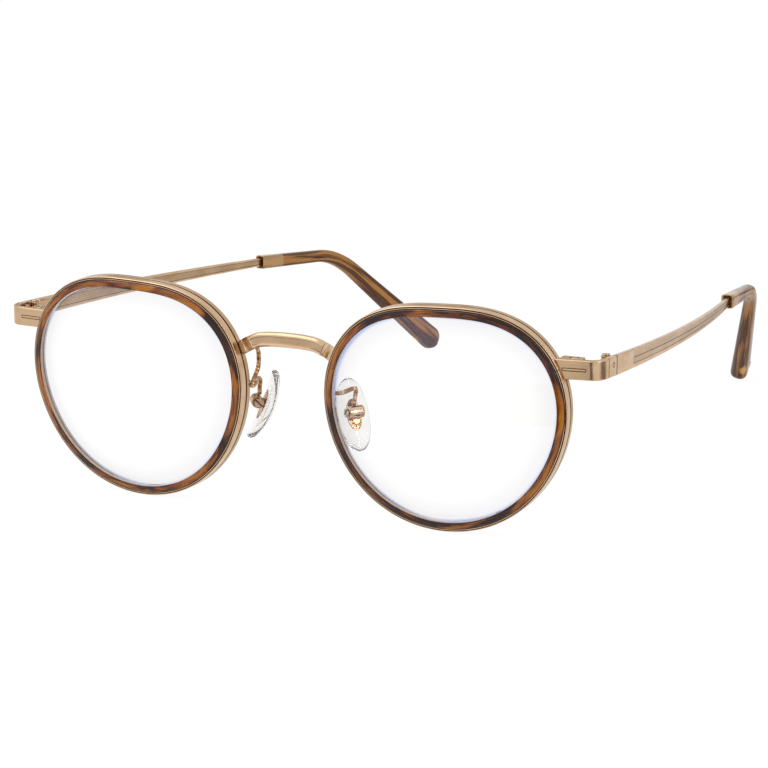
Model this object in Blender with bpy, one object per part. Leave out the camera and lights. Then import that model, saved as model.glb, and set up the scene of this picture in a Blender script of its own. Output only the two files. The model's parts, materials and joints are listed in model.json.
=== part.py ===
"""Round eyeglasses: acetate rings in metal eyewires, with a metal bridge, hinges and temples.

Sizes are in millimetres here and become metres in the meshes. The front is designed upright, with X
towards the wearer's left, Y backwards and Z up from the middle between the lenses. At the end the whole
pair is tipped until it stands on its two rims and its two temple tips, and its origin goes to the middle
of its base.
"""

import math

import bmesh
import bpy
from mathutils import Matrix, Vector

MM = 0.001
LEFT = 1
RIGHT = -1
SIDES = {"left": LEFT, "right": RIGHT}
SMOOTH_ANGLE = math.radians(32)

# Clearances
SEAT_GAP = 0.1  # between fixed pieces that sit in or on each other
RUN_GAP = 0.15  # between faces that turn past each other
SHANK_GAP = 0.05  # between a screw and its bore
OVERLAP = 0.2  # how far united solids reach into each other
CUT_BEYOND = 1.0  # how far a cutter passes the faces it opens

# Lens outline, as seen square to the lens
LENS_WIDTH = 46.7
LENS_HEIGHT = 40.9
LENS_CORNER = 0.26  # fills the outline out on its diagonals
LENS_PANTO = 0.8  # flattens the top and draws the bottom down
LENS_LEAN = 0.2  # turns the oval, its temple side upwards
LENS_THICKNESS = 1.4
LENS_BEVEL = 0.65  # how far the edge's ridge reaches into its groove
LENS_DEPTH = 1.65  # from the ring's front to the middle of the lens edge
LENS_FACET_RING = 0.5  # share of the outline where each face has its inner ring of facets

# Front
BRIDGE_WIDTH = 23.0  # between the lenses
FRONT_WRAP = math.radians(3.3)
FRONT_CURVE_RADIUS = 99.0

# Acetate ring and eyewire
INSERT_WIDTH = 1.4
INSERT_PROUD = 0.25
INSERT_ROUND = 0.35
RIM_DEPTH = 3.1
RIM_WALL = 0.51
RIM_LIP = 0.5
RIM_LIP_REACH = 0.9
RIM_WAIST = 0.15
RIM_FLANGE = 0.33
RIM_SPLIT = 0.3
TEMPLE_BRACKET = (-1.2, 1.2)  # outline angles between which the rim faces the temple
NOSE_BRACKET = (math.pi * 0.55, math.pi * 1.45)  # and the nose
ROUND_SHARE = 0.6  # how far the acetate's rounding reaches along its inner front edge

# Bridge
BRIDGE_RISE = 11.65
BRIDGE_SHOULDER_X = 5.6
BRIDGE_SHOULDER_DROP = 0.35
BRIDGE_NECK_X = 8.3
BRIDGE_NECK_DROP = 1.3
BRIDGE_END_DROP = 2.45
BRIDGE_HEIGHT = 2.9
BRIDGE_THICKNESS = 1.6
BRIDGE_BEVEL = 0.4
BRIDGE_BORDER = 0.35
BRIDGE_PANEL_DEPTH = 0.2
BRIDGE_PANEL_SLOPE = 0.1  # width of the sloping side between the border and the panel
BRIDGE_FORWARD = 0.4  # how far its middle stands in front of its ends

# End piece
END_Z = 10.75
END_HEIGHT = 3.85
END_THICKNESS = 1.2
END_SETBACK = 0.75  # behind the rim's front edge
END_REACH = 6.6  # from the rim's outermost edge to the outer face
END_ANGLE = math.radians(6.0)
END_BEND_RADIUS = 3.0
END_SIDE_LENGTH = 3.9  # from the bend to the hinge's axis
END_CHAMFER = 0.2
SPLIT_GAP = 0.3

# Closing block and its screw
CLOSING_WIDTH = 3.6
CLOSING_DEPTH = 2.4
CLOSING_HEIGHT = 3.6
CLOSING_CHAMFER = 0.4
CLOSING_SCREW_RADIUS = 0.55
CLOSING_HEAD_RADIUS = 0.8
CLOSING_HEAD_HEIGHT = 0.4
HEAD_TAPER = 0.7  # radius of a screw head's flat, as a share of the head's

# Hinge
HINGE_INSET = 2.3  # from the outer face to the axis
KNUCKLE_RADIUS = 1.0
KNUCKLE_HEIGHT = 1.1
HINGE_SCREW_RADIUS = 0.45
HINGE_HEAD_RADIUS = 0.8
HINGE_HEAD_HEIGHT = 0.2
LEAF_THICKNESS = 0.6
LEAF_HEIGHT = 3.0
LEAF_FRONT_LENGTH = 2.0
LEAF_TEMPLE_LENGTH = 3.6
LEAF_START = 1.3  # from the axis, beyond the knuckles' sweep
NECK_GAP = 0.1  # between the screw and the neck of a leaf

# Temple
TEMPLE_SLOPE = math.radians(4.6)
TEMPLE_LENGTH = 80.7  # from the axis to the tip's mouth
TEMPLE_SWEEP = 9.1
TEMPLE_BOW = 2.4
TEMPLE_END_HEIGHT = 1.8
TEMPLE_END_THICKNESS = 1.0
TEMPLE_CHAMFER = 0.22
TANG_LENGTH = 10.0  # how far the bar's full width reaches into the tip
TANG_TAPER = 1.2
CORE_HEIGHT = 1.1
CORE_THICKNESS = 0.8
CORE_CHAMFER = 0.18
CORE_STOP = 6.0  # from the core's end to the tip's end

# Acetate tip
TIP_STRAIGHT = 20.6
TIP_BEND_RADIUS = 19.0
TIP_LEG = 29.3
TIP_DROOP = math.radians(2.7)  # of the straight, below the bar's line
TIP_BEND = math.radians(42.0)  # of the leg, below the bar's line
TIP_TOE_IN = math.radians(10.5)  # of the straight
TIP_LEG_TOE_IN = math.radians(19.5)
TIP_MOUTH_HEIGHT = 3.0
TIP_MOUTH_THICKNESS = 2.7
TIP_BEND_HEIGHT = 2.8
TIP_BEND_THICKNESS = 2.3
TIP_END_HEIGHT = 5.4
TIP_END_THICKNESS = 4.0
TIP_ROUND = 0.75
TIP_SOCKET_GAP = 0.42
TIP_SOCKET_DEPTH = 1.5
TIP_EDGE = 0.2
TIP_END_SHARES = (0.45, 0.75, 0.93)  # places of the sections round the end, of half the end's height
TIP_END_FLAT = 0.6  # share of the thickness that the round end keeps
DISC_RADIUS = 0.9
DISC_THICKNESS = 0.45
DISC_FROM_END = 0.6
DISC_RISE = 1.0

# Nose pad, its mount and its arm
PAD_BOX_BEHIND = 6.4  # behind the rim's back edge
PAD_BOX_OUTBOARD = 1.7  # beyond the rim's inner side
PAD_BOX_Z = -3.5
PAD_SPLAY = math.radians(40.0)
PAD_LEAN = math.radians(24.0)
PAD_STANDOFF = 2.5
PAD_SHIFT_BACK = 0.2
PAD_DROP = 0.3
PAD_WIDTH = 7.0
PAD_HEIGHT = 14.8
PAD_THICKNESS = 2.1
PAD_EDGE = 1.1
PAD_BOW = 1.1
# share of the outline, and share of the half thickness on the side away from the nose
PAD_SECTION = [(0.5, 0.95), (0.82, 0.8), (0.96, 0.5), (1.0, 0.0), (0.96, -0.55), (0.82, -0.85), (0.5, -1.0)]
PAD_EDGE_STARTS = 0.9  # share of the outline beyond which the pad thins to its edge
MOUNT_WIDTH = 3.0
MOUNT_HEIGHT = 6.4
MOUNT_THICKNESS = 0.5
TAB_THICKNESS = 1.0
TAB_RADIUS = 0.85
BOX_RADIUS = 1.25
BOX_LENGTH = 3.2
BOX_WALL = 0.3
PAD_SCREW_RADIUS = 0.42
PAD_HEAD_RADIUS = 0.9
PAD_HEAD_HEIGHT = 0.4
ARM_RADIUS = 0.45
ARM_INBOARD = 0.6  # from the bridge's neck towards the rim
ARM_BELOW = 1.2  # below the bridge's middle line
ARM_TOUCH_Z = 1.6  # where the wire comes nearest the rim
ARM_OVER_HEIGHT = 3.4  # of the hook above the pad box
ARM_OVER_BACK = 0.7

# Facets
RIM_STEPS = 60
ROUND_STEPS = 16
BOX_STEPS = 20
PAD_STEPS = 28
ARM_STEPS = 30
BRIDGE_STEPS = 25
END_BEND_STEPS = 7
TEMPLE_STEPS = 12
TIP_BEND_STEPS = 6
TIP_LEG_STEPS = 5
BEND_SUM_STEPS = 12  # of the sum that runs along the tip's bend
ANGLE_HALVINGS = 50
TILT_TURNS = 20
STATION_REACH = 0.05  # either side of a place on the temple, to find its direction

CHANNEL_WALL = INSERT_WIDTH + SEAT_GAP
RIM_OFFSET = CHANNEL_WALL + RIM_WALL
RIM_FRONT = INSERT_PROUD
RIM_BACK = RIM_FRONT + RIM_DEPTH
LENS_CENTRE_X = (BRIDGE_WIDTH + LENS_WIDTH) / 2
SIDE_X = LENS_CENTRE_X + LENS_WIDTH / 2 + RIM_OFFSET + END_REACH
HINGE_X = SIDE_X - HINGE_INSET
TIP_BEND_LENGTH = TIP_BEND_RADIUS * (TIP_BEND - TIP_DROOP)
TIP_LENGTH = TIP_STRAIGHT + TIP_BEND_LENGTH + TIP_LEG


def outline_radius(angle):
    """The lens outline's radius, and its rate of change, at an angle from the temple side."""
    mean = (LENS_WIDTH + LENS_HEIGHT) / 4 + LENS_CORNER
    oval = (LENS_WIDTH - LENS_HEIGHT) / 4
    radius = mean + oval * math.cos(2 * angle) + LENS_LEAN * math.sin(2 * angle)
    radius += LENS_PANTO * math.sin(3 * angle) - LENS_CORNER * math.cos(4 * angle)
    rate = 2 * LENS_LEAN * math.cos(2 * angle) - 2 * oval * math.sin(2 * angle)
    rate += 3 * LENS_PANTO * math.cos(3 * angle) + 4 * LENS_CORNER * math.sin(4 * angle)
    return radius, rate


def outline_point(angle, offset=0.0):
    """(across, up) of the outline moved outwards by offset, square to itself."""
    radius, rate = outline_radius(angle)
    cos, sin = math.cos(angle), math.sin(angle)
    along = Vector((rate * cos - radius * sin, rate * sin + radius * cos)).normalized()
    return radius * cos + offset * along.y, radius * sin - offset * along.x


def face_depth(across, up):
    """How far the front's curve lies back at a point of the lens."""
    return FRONT_CURVE_RADIUS - math.sqrt(FRONT_CURVE_RADIUS**2 - across**2 - up**2)


def ring_point(angle, offset, depth):
    across, up = outline_point(angle, offset)
    return Vector((across, face_depth(across, up) + depth, up))


def front_from_lens(point):
    """A point of the left lens's own frame, in the front's frame."""
    return Matrix.Rotation(FRONT_WRAP, 3, "Z") @ Vector(point) + Vector((LENS_CENTRE_X, 0, 0))


def rim_angle(height, low, high):
    """The outline angle, between low and high, at which the rim's outer side is at this height."""
    rising = outline_point(high, RIM_OFFSET)[1] > outline_point(low, RIM_OFFSET)[1]
    for _ in range(ANGLE_HALVINGS):
        middle = (low + high) / 2
        if (outline_point(middle, RIM_OFFSET)[1] < height) == rising:
            low = middle
        else:
            high = middle
    return (low + high) / 2


def nasal_side(height):
    """A point of the left rim's back edge, on its nose side, in the front's frame."""
    angle = rim_angle(height, *NOSE_BRACKET)
    return front_from_lens(ring_point(angle, RIM_OFFSET, RIM_BACK))


def temple_side(height):
    """A point of the left rim's outer side where the end piece's front meets it, in the front's frame."""
    angle = rim_angle(height, *TEMPLE_BRACKET)
    return front_from_lens(ring_point(angle, RIM_OFFSET, RIM_FRONT + END_SETBACK))


def clear_scene():
    for obj in list(bpy.data.objects):
        bpy.data.objects.remove(obj, do_unlink=True)


def make_material(name, colour, metallic, roughness, alpha=1.0):
    material = bpy.data.materials.new(name)
    material.use_nodes = True
    shader = material.node_tree.nodes["Principled BSDF"]
    shader.inputs["Base Color"].default_value = (*colour, 1.0)
    shader.inputs["Metallic"].default_value = metallic
    shader.inputs["Roughness"].default_value = roughness
    shader.inputs["Alpha"].default_value = alpha
    return material


def add_frame(name, location=(0, 0, 0), rotation=(0, 0, 0), parent=None, side=LEFT):
    """An empty that carries pieces. On the right side it is the mirror image of the left one."""
    empty = bpy.data.objects.new(name, None)
    bpy.context.scene.collection.objects.link(empty)
    empty.parent = parent
    empty.location = (side * location[0] * MM, location[1] * MM, location[2] * MM)
    empty.rotation_euler = (rotation[0], side * rotation[1], side * rotation[2])
    return empty


def skin(rings, closed=False, poles=(None, None)):
    """A closed surface over rings of equally many points, with a face or a fan over each open end."""
    shape = bmesh.new()
    verts = [[shape.verts.new(point) for point in ring] for ring in rings]
    count = len(rings[0])
    following = verts[1:] + verts[:1] if closed else verts[1:]
    for here, there in zip(verts, following):
        for i in range(count):
            j = (i + 1) % count
            shape.faces.new((here[i], here[j], there[j], there[i]))
    if not closed:
        for ring, pole in ((verts[0], poles[0]), (verts[-1], poles[1])):
            if pole is None:
                shape.faces.new(ring)
                continue
            tip = shape.verts.new(pole)
            for i in range(count):
                shape.faces.new((ring[i], ring[(i + 1) % count], tip))
    return shape


def add_piece(name, shape, material, frame, side=LEFT):
    if side == RIGHT:
        for vert in shape.verts:
            vert.co.x = -vert.co.x
    for vert in shape.verts:
        vert.co *= MM
    bmesh.ops.recalc_face_normals(shape, faces=shape.faces[:])
    mesh = bpy.data.meshes.new(name)
    shape.to_mesh(mesh)
    shape.free()
    mesh.shade_smooth()
    mesh.set_sharp_from_angle(angle=SMOOTH_ANGLE)
    mesh.materials.append(material)
    piece = bpy.data.objects.new(name, mesh)
    bpy.context.scene.collection.objects.link(piece)
    piece.parent = frame
    return piece


def shape_with(piece, helper, operation):
    """Unites a piece with a hidden helper, or cuts the helper out of it."""
    helper.hide_render = True
    helper.display_type = "WIRE"
    modifier = piece.modifiers.new(operation.lower(), "BOOLEAN")
    modifier.operation = operation
    modifier.solver = "EXACT"
    modifier.object = helper


def turned(profile, centre, axis, steps=ROUND_STEPS):
    """Rings of a profile of (radius, height) turned about an axis."""
    axis = Vector(axis).normalized()
    first = axis.orthogonal().normalized()
    second = axis.cross(first)
    rings = []
    for radius, height in profile:
        middle = Vector(centre) + axis * height
        turns = [2 * math.pi * i / steps for i in range(steps)]
        rings.append([middle + (first * math.cos(t) + second * math.sin(t)) * radius for t in turns])
    return rings


def box(low, high):
    (x0, y0, z0), (x1, y1, z1) = low, high
    plan = [(x0, y0), (x1, y0), (x1, y1), (x0, y1)]
    return skin([[Vector((x, y, z)) for x, y in plan] for z in (z0, z1)])


def chamfered(width, height, chamfer):
    """Eight points (across, up) of a chamfered rectangle about its middle."""
    w, h, c = width / 2, height / 2, chamfer
    right = [(w - c, -h), (w, c - h), (w, h - c), (w - c, h)]
    return right + [(-across, -up) for across, up in right]


def rounded(width, height, radius, inset=0.0):
    """Twelve points (across, up) of a round-cornered rectangle about its middle."""
    w, h = width / 2 - inset, height / 2 - inset
    r = min(radius, w * 0.95, h * 0.95)
    points = []
    corners = ((w - r, r - h), (w - r, h - r), (r - w, h - r), (r - w, r - h))
    for quarter, (cx, cz) in enumerate(corners):
        for step in range(3):
            turn = math.pi / 2 * (quarter - 1 + step / 2)
            points.append((cx + r * math.cos(turn), cz + r * math.sin(turn)))
    return points


def smooth_route(points, count):
    """Points evenly spread in number along a smooth curve through the given ones."""
    ends = [points[0] * 2 - points[1], *points, points[-1] * 2 - points[-2]]
    route = []
    for i in range(count):
        place = i / (count - 1) * (len(points) - 1)
        leg = min(int(place), len(points) - 2)
        t = place - leg
        a, b, c, d = ends[leg : leg + 4]
        square = (2 * a - 5 * b + 4 * c - d) * t**2
        cube = (3 * b - a - 3 * c + d) * t**3
        route.append((2 * b + (c - a) * t + square + cube) / 2)
    return route


def rim_profile():
    """(offset, depth) round the eyewire's section: a channel open to the lens, with a flange at each edge."""
    edge = RIM_OFFSET
    waist = edge - RIM_WAIST
    lip = CHANNEL_WALL - RIM_LIP_REACH
    return [
        (CHANNEL_WALL, RIM_FRONT),
        (edge, RIM_FRONT),
        (edge, RIM_FRONT + RIM_FLANGE),
        (waist, RIM_FRONT + RIM_FLANGE + RIM_WAIST),
        (waist, RIM_BACK - RIM_FLANGE - RIM_WAIST),
        (edge, RIM_BACK - RIM_FLANGE),
        (edge, RIM_BACK),
        (lip, RIM_BACK),
        (lip, RIM_BACK - RIM_LIP),
        (CHANNEL_WALL, RIM_BACK - RIM_LIP),
    ]


def insert_profile():
    """(offset, depth) round the acetate ring's section, with the lens groove on its inner side."""
    back = RIM_BACK - RIM_LIP - SEAT_GAP
    groove = LENS_BEVEL + SEAT_GAP
    half = LENS_THICKNESS / 2
    return [
        (0.0, INSERT_ROUND),
        (INSERT_ROUND * ROUND_SHARE, 0.0),
        (INSERT_WIDTH - INSERT_ROUND, 0.0),
        (INSERT_WIDTH, INSERT_ROUND),
        (INSERT_WIDTH, back),
        (0.0, back),
        (0.0, LENS_DEPTH + half),
        (groove, LENS_DEPTH),
        (0.0, LENS_DEPTH - half),
    ]


def add_rim(name, side, frame, material):
    split = rim_angle(END_Z, *TEMPLE_BRACKET)
    half_gap = RIM_SPLIT / 2 / outline_radius(split)[0]
    turn = 2 * math.pi - 2 * half_gap
    angles = [split + half_gap + turn * i / RIM_STEPS for i in range(RIM_STEPS + 1)]
    profile = rim_profile()
    rings = [[ring_point(angle, offset, depth) for offset, depth in profile] for angle in angles]
    return add_piece(name, skin(rings), material, frame, side)


def add_insert(name, side, frame, material):
    angles = [2 * math.pi * i / RIM_STEPS for i in range(RIM_STEPS)]
    profile = insert_profile()
    rings = [[ring_point(angle, offset, depth) for offset, depth in profile] for angle in angles]
    return add_piece(name, skin(rings, closed=True), material, frame, side)


def add_lens(name, side, frame, material):
    front = LENS_DEPTH - LENS_THICKNESS / 2
    back = LENS_DEPTH + LENS_THICKNESS / 2
    angles = [2 * math.pi * i / RIM_STEPS for i in range(RIM_STEPS)]
    # share of the outline's radius, distance outwards from it, and depth
    section = [
        (LENS_FACET_RING, 0.0, front),
        (1.0, -SEAT_GAP, front),
        (1.0, LENS_BEVEL - SEAT_GAP, LENS_DEPTH),
        (1.0, -SEAT_GAP, back),
        (LENS_FACET_RING, 0.0, back),
    ]
    rings = []
    for share, offset, depth in section:
        ring = []
        for angle in angles:
            across, up = (share * value for value in outline_point(angle, offset))
            ring.append(Vector((across, face_depth(across, up) + depth, up)))
        rings.append(ring)
    poles = (Vector((0, front, 0)), Vector((0, back, 0)))
    return add_piece(name, skin(rings, poles=poles), material, frame, side)


def bridge_section(share):
    """(forward, up) round the bridge's section. share is 1 where the panel is sunk, 0 where it is flush."""
    half = BRIDGE_HEIGHT / 2
    front = BRIDGE_THICKNESS / 2
    border = half - BRIDGE_BEVEL - BRIDGE_BORDER
    upper = [
        (front - BRIDGE_PANEL_DEPTH * share, border - BRIDGE_PANEL_SLOPE / 2),
        (front, border + BRIDGE_PANEL_SLOPE / 2),
        (front, half - BRIDGE_BEVEL),
        (front - BRIDGE_BEVEL, half),
        (BRIDGE_BEVEL - front, half),
        (-front, half - BRIDGE_BEVEL),
    ]
    return upper + [(forward, -up) for forward, up in reversed(upper)]


def add_bridge(root, material):
    """A flat bar over the nose. Each end is cut to the rim that it meets."""
    end_z = BRIDGE_RISE - BRIDGE_END_DROP
    end = nasal_side(end_z)
    back_y = end.y - BRIDGE_THICKNESS / 2 + BRIDGE_BEVEL
    half_route = [
        Vector((0, back_y - BRIDGE_FORWARD, BRIDGE_RISE)),
        Vector((BRIDGE_SHOULDER_X, back_y - BRIDGE_FORWARD / 2, BRIDGE_RISE - BRIDGE_SHOULDER_DROP)),
        Vector((BRIDGE_NECK_X, back_y, BRIDGE_RISE - BRIDGE_NECK_DROP)),
        Vector((end.x, back_y, end_z)),
    ]
    mirror = Vector((-1, 1, 1))
    route = smooth_route([p * mirror for p in half_route[:0:-1]] + half_route, BRIDGE_STEPS)
    rings = []
    for i, point in enumerate(route):
        before, after = route[max(i - 1, 0)], route[min(i + 1, len(route) - 1)]
        along = (after - before).normalized()
        forward = Vector((0, -1, 0))
        up = along.cross(forward) * -1
        share = 1.0 if abs(point.x) < BRIDGE_NECK_X else 0.0
        ring = [point + forward * f + up * u for f, u in bridge_section(share)]
        if i in (0, len(route) - 1):
            for corner in ring:
                corner.x = math.copysign(nasal_side(corner.z).x - SEAT_GAP, point.x)
        rings.append(ring)
    return add_piece("bridge", skin(rings), material, root)


def end_front_line(x):
    """Y of the end piece's front face at this X, level with the eyewire's front edge beside it."""
    beside = temple_side(END_Z)
    return beside.y + (x - beside.x) * math.tan(END_ANGLE)


def end_path():
    """The end piece's outer face, from rim to split, as (x, y, heading, share of the temple's slope)."""
    turn = math.pi / 2 - END_ANGLE
    tangent = END_BEND_RADIUS * math.tan(turn / 2)
    corner_y = end_front_line(SIDE_X)
    start_x = SIDE_X - tangent * math.cos(END_ANGLE)
    start_y = corner_y - tangent * math.sin(END_ANGLE)
    centre_x = start_x - END_BEND_RADIUS * math.sin(END_ANGLE)
    centre_y = start_y + END_BEND_RADIUS * math.cos(END_ANGLE)
    path = [(None, None, END_ANGLE, 0.0)]
    for i in range(END_BEND_STEPS + 1):
        share = i / END_BEND_STEPS
        heading = END_ANGLE + turn * share
        x = centre_x + END_BEND_RADIUS * math.sin(heading)
        y = centre_y - END_BEND_RADIUS * math.cos(heading)
        path.append((x, y, heading, share))
    bend_end = corner_y + tangent
    path.append((SIDE_X, bend_end + END_SIDE_LENGTH - SPLIT_GAP / 2, math.pi / 2, 1.0))
    return path, bend_end


def hinge_centre():
    bend_end = end_path()[1]
    drop = END_SIDE_LENGTH * math.tan(TEMPLE_SLOPE)
    return Vector((HINGE_X, bend_end + END_SIDE_LENGTH, END_Z - drop))


def add_end_piece(name, side, root, material):
    path, bend_end = end_path()
    outline = chamfered(END_THICKNESS, END_HEIGHT, END_CHAMFER)
    section = [(END_THICKNESS / 2 - across, up) for across, up in outline]
    rings = []
    for x, y, heading, share in path:
        inward = Vector((-math.sin(heading), math.cos(heading), 0))
        tilt = TEMPLE_SLOPE * share
        up = Vector((0, math.sin(tilt), math.cos(tilt)))
        ring = []
        for depth, height in section:
            if x is None:
                edge = temple_side(END_Z + height).x + SEAT_GAP
                point = Vector((edge, end_front_line(edge), END_Z + height)) + Vector((0, depth, 0))
            else:
                drop = max(0.0, y - bend_end) * math.tan(TEMPLE_SLOPE)
                point = Vector((x, y, END_Z - drop)) + inward * depth + up * height
            ring.append(point)
        rings.append(ring)
    return add_piece(name, skin(rings), material, root, side)


def add_closing_blocks(side, label, root, material):
    """Two half blocks behind the end piece, on either side of the cut in the eyewire, and their screw."""
    inner_x = temple_side(END_Z).x + SEAT_GAP
    outer_x = inner_x + CLOSING_WIDTH
    front_gap = END_THICKNESS / math.cos(END_ANGLE) + SEAT_GAP
    back_y = end_front_line(inner_x) + front_gap + CLOSING_DEPTH
    screw_x = (inner_x + outer_x) / 2
    screw_y = (end_front_line(screw_x) + front_gap + back_y) / 2
    half = CLOSING_HEIGHT / 2
    c = CLOSING_CHAMFER
    bore_radius = CLOSING_SCREW_RADIUS + SHANK_GAP
    sink_radius = CLOSING_HEAD_RADIUS + SEAT_GAP
    head = half - CLOSING_HEAD_HEIGHT  # the screw's head is sunk flush into the upper block
    bore_profile = [
        (bore_radius, -half - CUT_BEYOND),
        (bore_radius, head - SEAT_GAP),
        (sink_radius, head - SEAT_GAP),
        (sink_radius, half + CUT_BEYOND),
    ]
    for word, low, high in (("upper", RIM_SPLIT / 2, half), ("lower", -half, -RIM_SPLIT / 2)):
        rings = []
        for height in (low, (low + high) / 2, high):
            edge = temple_side(END_Z + height).x + SEAT_GAP
            plan = [
                (edge, end_front_line(edge) + front_gap),
                (outer_x, end_front_line(outer_x) + front_gap),
                (outer_x, back_y - c),
                (outer_x - c, back_y),
                (edge, back_y),
            ]
            rings.append([Vector((x, y, END_Z + height)) for x, y in plan])
        block = add_piece(f"closing_block_{word}_{label}", skin(rings), material, root, side)
        bore = turned(bore_profile, (screw_x, screw_y, END_Z), (0, 0, 1))
        cutter = add_piece(f"closing_bore_{word}_{label}", skin(bore), material, root, side)
        shape_with(block, cutter, "DIFFERENCE")
    profile = [
        (CLOSING_SCREW_RADIUS, -half),
        (CLOSING_SCREW_RADIUS, head),
        (CLOSING_HEAD_RADIUS, head),
        (CLOSING_HEAD_RADIUS, head + CLOSING_HEAD_HEIGHT / 2),
        (CLOSING_HEAD_RADIUS * HEAD_TAPER, half),
    ]
    screw = skin(turned(profile, (screw_x, screw_y, END_Z), (0, 0, 1)))
    add_piece(f"closing_screw_{label}", screw, material, root, side)


def knuckle(low, high):
    """A ring about the hinge's axis, with its bore."""
    bore = HINGE_SCREW_RADIUS + SHANK_GAP
    profile = [(bore, low), (KNUCKLE_RADIUS, low), (KNUCKLE_RADIUS, high), (bore, high)]
    return skin(turned(profile, (0, 0, 0), (0, 0, 1)), closed=True)


def add_hinge(side, label, front_axis, temple_axis, material):
    """Both leaves and the screw, about the hinge's own axis. The front leaf has the two outer knuckles."""
    face = HINGE_INSET - END_THICKNESS - SEAT_GAP
    back = face - LEAF_THICKNESS
    half_middle = KNUCKLE_HEIGHT / 2
    outer_low = half_middle + RUN_GAP
    outer_high = outer_low + KNUCKLE_HEIGHT
    half_leaf = LEAF_HEIGHT / 2
    neck_start = HINGE_SCREW_RADIUS + NECK_GAP

    plate = box((back, -LEAF_START - LEAF_FRONT_LENGTH, -half_leaf), (face, -LEAF_START, half_leaf))
    leaf = add_piece(f"hinge_front_{label}", plate, material, front_axis, side)
    for word, low, high in (("top", outer_low, outer_high), ("bottom", -outer_high, -outer_low)):
        ring = add_piece(f"knuckle_{word}_{label}", knuckle(low, high), material, front_axis, side)
        neck = box((neck_start, -LEAF_START - OVERLAP, low), (face, 0.0, high))
        neck = add_piece(f"neck_{word}_{label}", neck, material, front_axis, side)
        shape_with(ring, neck, "UNION")
        shape_with(leaf, ring, "UNION")

    plate = box((back, LEAF_START, -half_leaf), (face, LEAF_START + LEAF_TEMPLE_LENGTH, half_leaf))
    leaf = add_piece(f"hinge_temple_{label}", plate, material, temple_axis, side)
    ring = knuckle(-half_middle, half_middle)
    ring = add_piece(f"knuckle_middle_{label}", ring, material, temple_axis, side)
    neck = box((neck_start, 0.0, -half_middle), (face, LEAF_START + OVERLAP, half_middle))
    neck = add_piece(f"neck_middle_{label}", neck, material, temple_axis, side)
    shape_with(ring, neck, "UNION")
    shape_with(leaf, ring, "UNION")

    head = outer_high + SEAT_GAP
    profile = [
        (HINGE_SCREW_RADIUS, -outer_high),
        (HINGE_SCREW_RADIUS, head),
        (HINGE_HEAD_RADIUS, head),
        (HINGE_HEAD_RADIUS, head + HINGE_HEAD_HEIGHT / 2),
        (HINGE_HEAD_RADIUS * HEAD_TAPER, head + HINGE_HEAD_HEIGHT),
    ]
    screw = skin(turned(profile, (0, 0, 0), (0, 0, 1)))
    add_piece(f"hinge_screw_{label}", screw, material, front_axis, side)


def temple_point(distance):
    """The temple's middle line, in the hinge's frame: the bowed bar, then the tip's straight, bend, leg."""
    share = min(distance, TEMPLE_LENGTH) / TEMPLE_LENGTH
    bow = TEMPLE_BOW * 4 * share * (1 - share)
    x = HINGE_INSET - END_THICKNESS / 2 - TEMPLE_SWEEP * share + bow
    point = Vector((x, min(distance, TEMPLE_LENGTH), 0.0))
    left = distance - TEMPLE_LENGTH
    if left > 0:
        point += tip_heading(0.0) * min(left, TIP_STRAIGHT)
    bent = min(left - TIP_STRAIGHT, TIP_BEND_LENGTH)
    if bent > 0:
        length = bent / BEND_SUM_STEPS
        for i in range(BEND_SUM_STEPS):
            point += tip_heading(length * (i + 0.5) / TIP_BEND_LENGTH) * length
    leg = left - TIP_STRAIGHT - TIP_BEND_LENGTH
    if leg > 0:
        point += tip_heading(1.0) * leg
    return point


def tip_heading(share):
    """Which way the tip runs, from its straight (0) round its bend to its leg (1)."""
    down = blend(TIP_DROOP, TIP_BEND, share)
    inward = blend(TIP_TOE_IN, TIP_LEG_TOE_IN, share)
    back = math.cos(inward)
    return Vector((-math.sin(inward), back * math.cos(down), -back * math.sin(down)))


def temple_station(distance):
    """(middle, outwards, up) of the temple at a distance along it."""
    ahead, behind = temple_point(distance + STATION_REACH), temple_point(distance - STATION_REACH)
    along = (ahead - behind).normalized()
    out = Vector((1, 0, 0))
    out = (out - along * out.dot(along)).normalized()
    return temple_point(distance), out, out.cross(along)


def temple_ring(distance, section):
    middle, out, up = temple_station(distance)
    return [middle + out * across + up * height for across, height in section]


def blend(start, end, share):
    return start + (end - start) * min(max(share, 0.0), 1.0)


def metal_section(distance):
    """(thickness, height, chamfer) of the bar, and of its core inside the tip."""
    if distance <= TEMPLE_LENGTH + TANG_LENGTH:
        share = distance / TEMPLE_LENGTH
        thickness = blend(END_THICKNESS, TEMPLE_END_THICKNESS, share)
        return thickness, blend(END_HEIGHT, TEMPLE_END_HEIGHT, share), TEMPLE_CHAMFER
    return CORE_THICKNESS, CORE_HEIGHT, CORE_CHAMFER


def tip_distances(last):
    """Distances along the tip, closer together round the bend, from its mouth to the last one given."""
    leg_start = TIP_STRAIGHT + TIP_BEND_LENGTH
    marks = [TANG_LENGTH, TANG_LENGTH + TANG_TAPER, TIP_STRAIGHT]
    marks += [TIP_STRAIGHT + TIP_BEND_LENGTH * i / TIP_BEND_STEPS for i in range(1, TIP_BEND_STEPS + 1)]
    marks += [leg_start + TIP_LEG * i / TIP_LEG_STEPS for i in range(1, TIP_LEG_STEPS)]
    return [TEMPLE_LENGTH + mark for mark in marks if mark < last] + [TEMPLE_LENGTH + last]


def core_length():
    return TIP_LENGTH - CORE_STOP


def add_temple(name, side, frame, material):
    bar = [TEMPLE_LENGTH * i / TEMPLE_STEPS for i in range(1, TEMPLE_STEPS + 1)]
    rings = []
    for distance in [SPLIT_GAP / 2, *bar, *tip_distances(core_length())]:
        thickness, height, chamfer = metal_section(distance)
        rings.append(temple_ring(distance, chamfered(thickness, height, chamfer)))
    return add_piece(name, skin(rings), material, frame, side)


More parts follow.
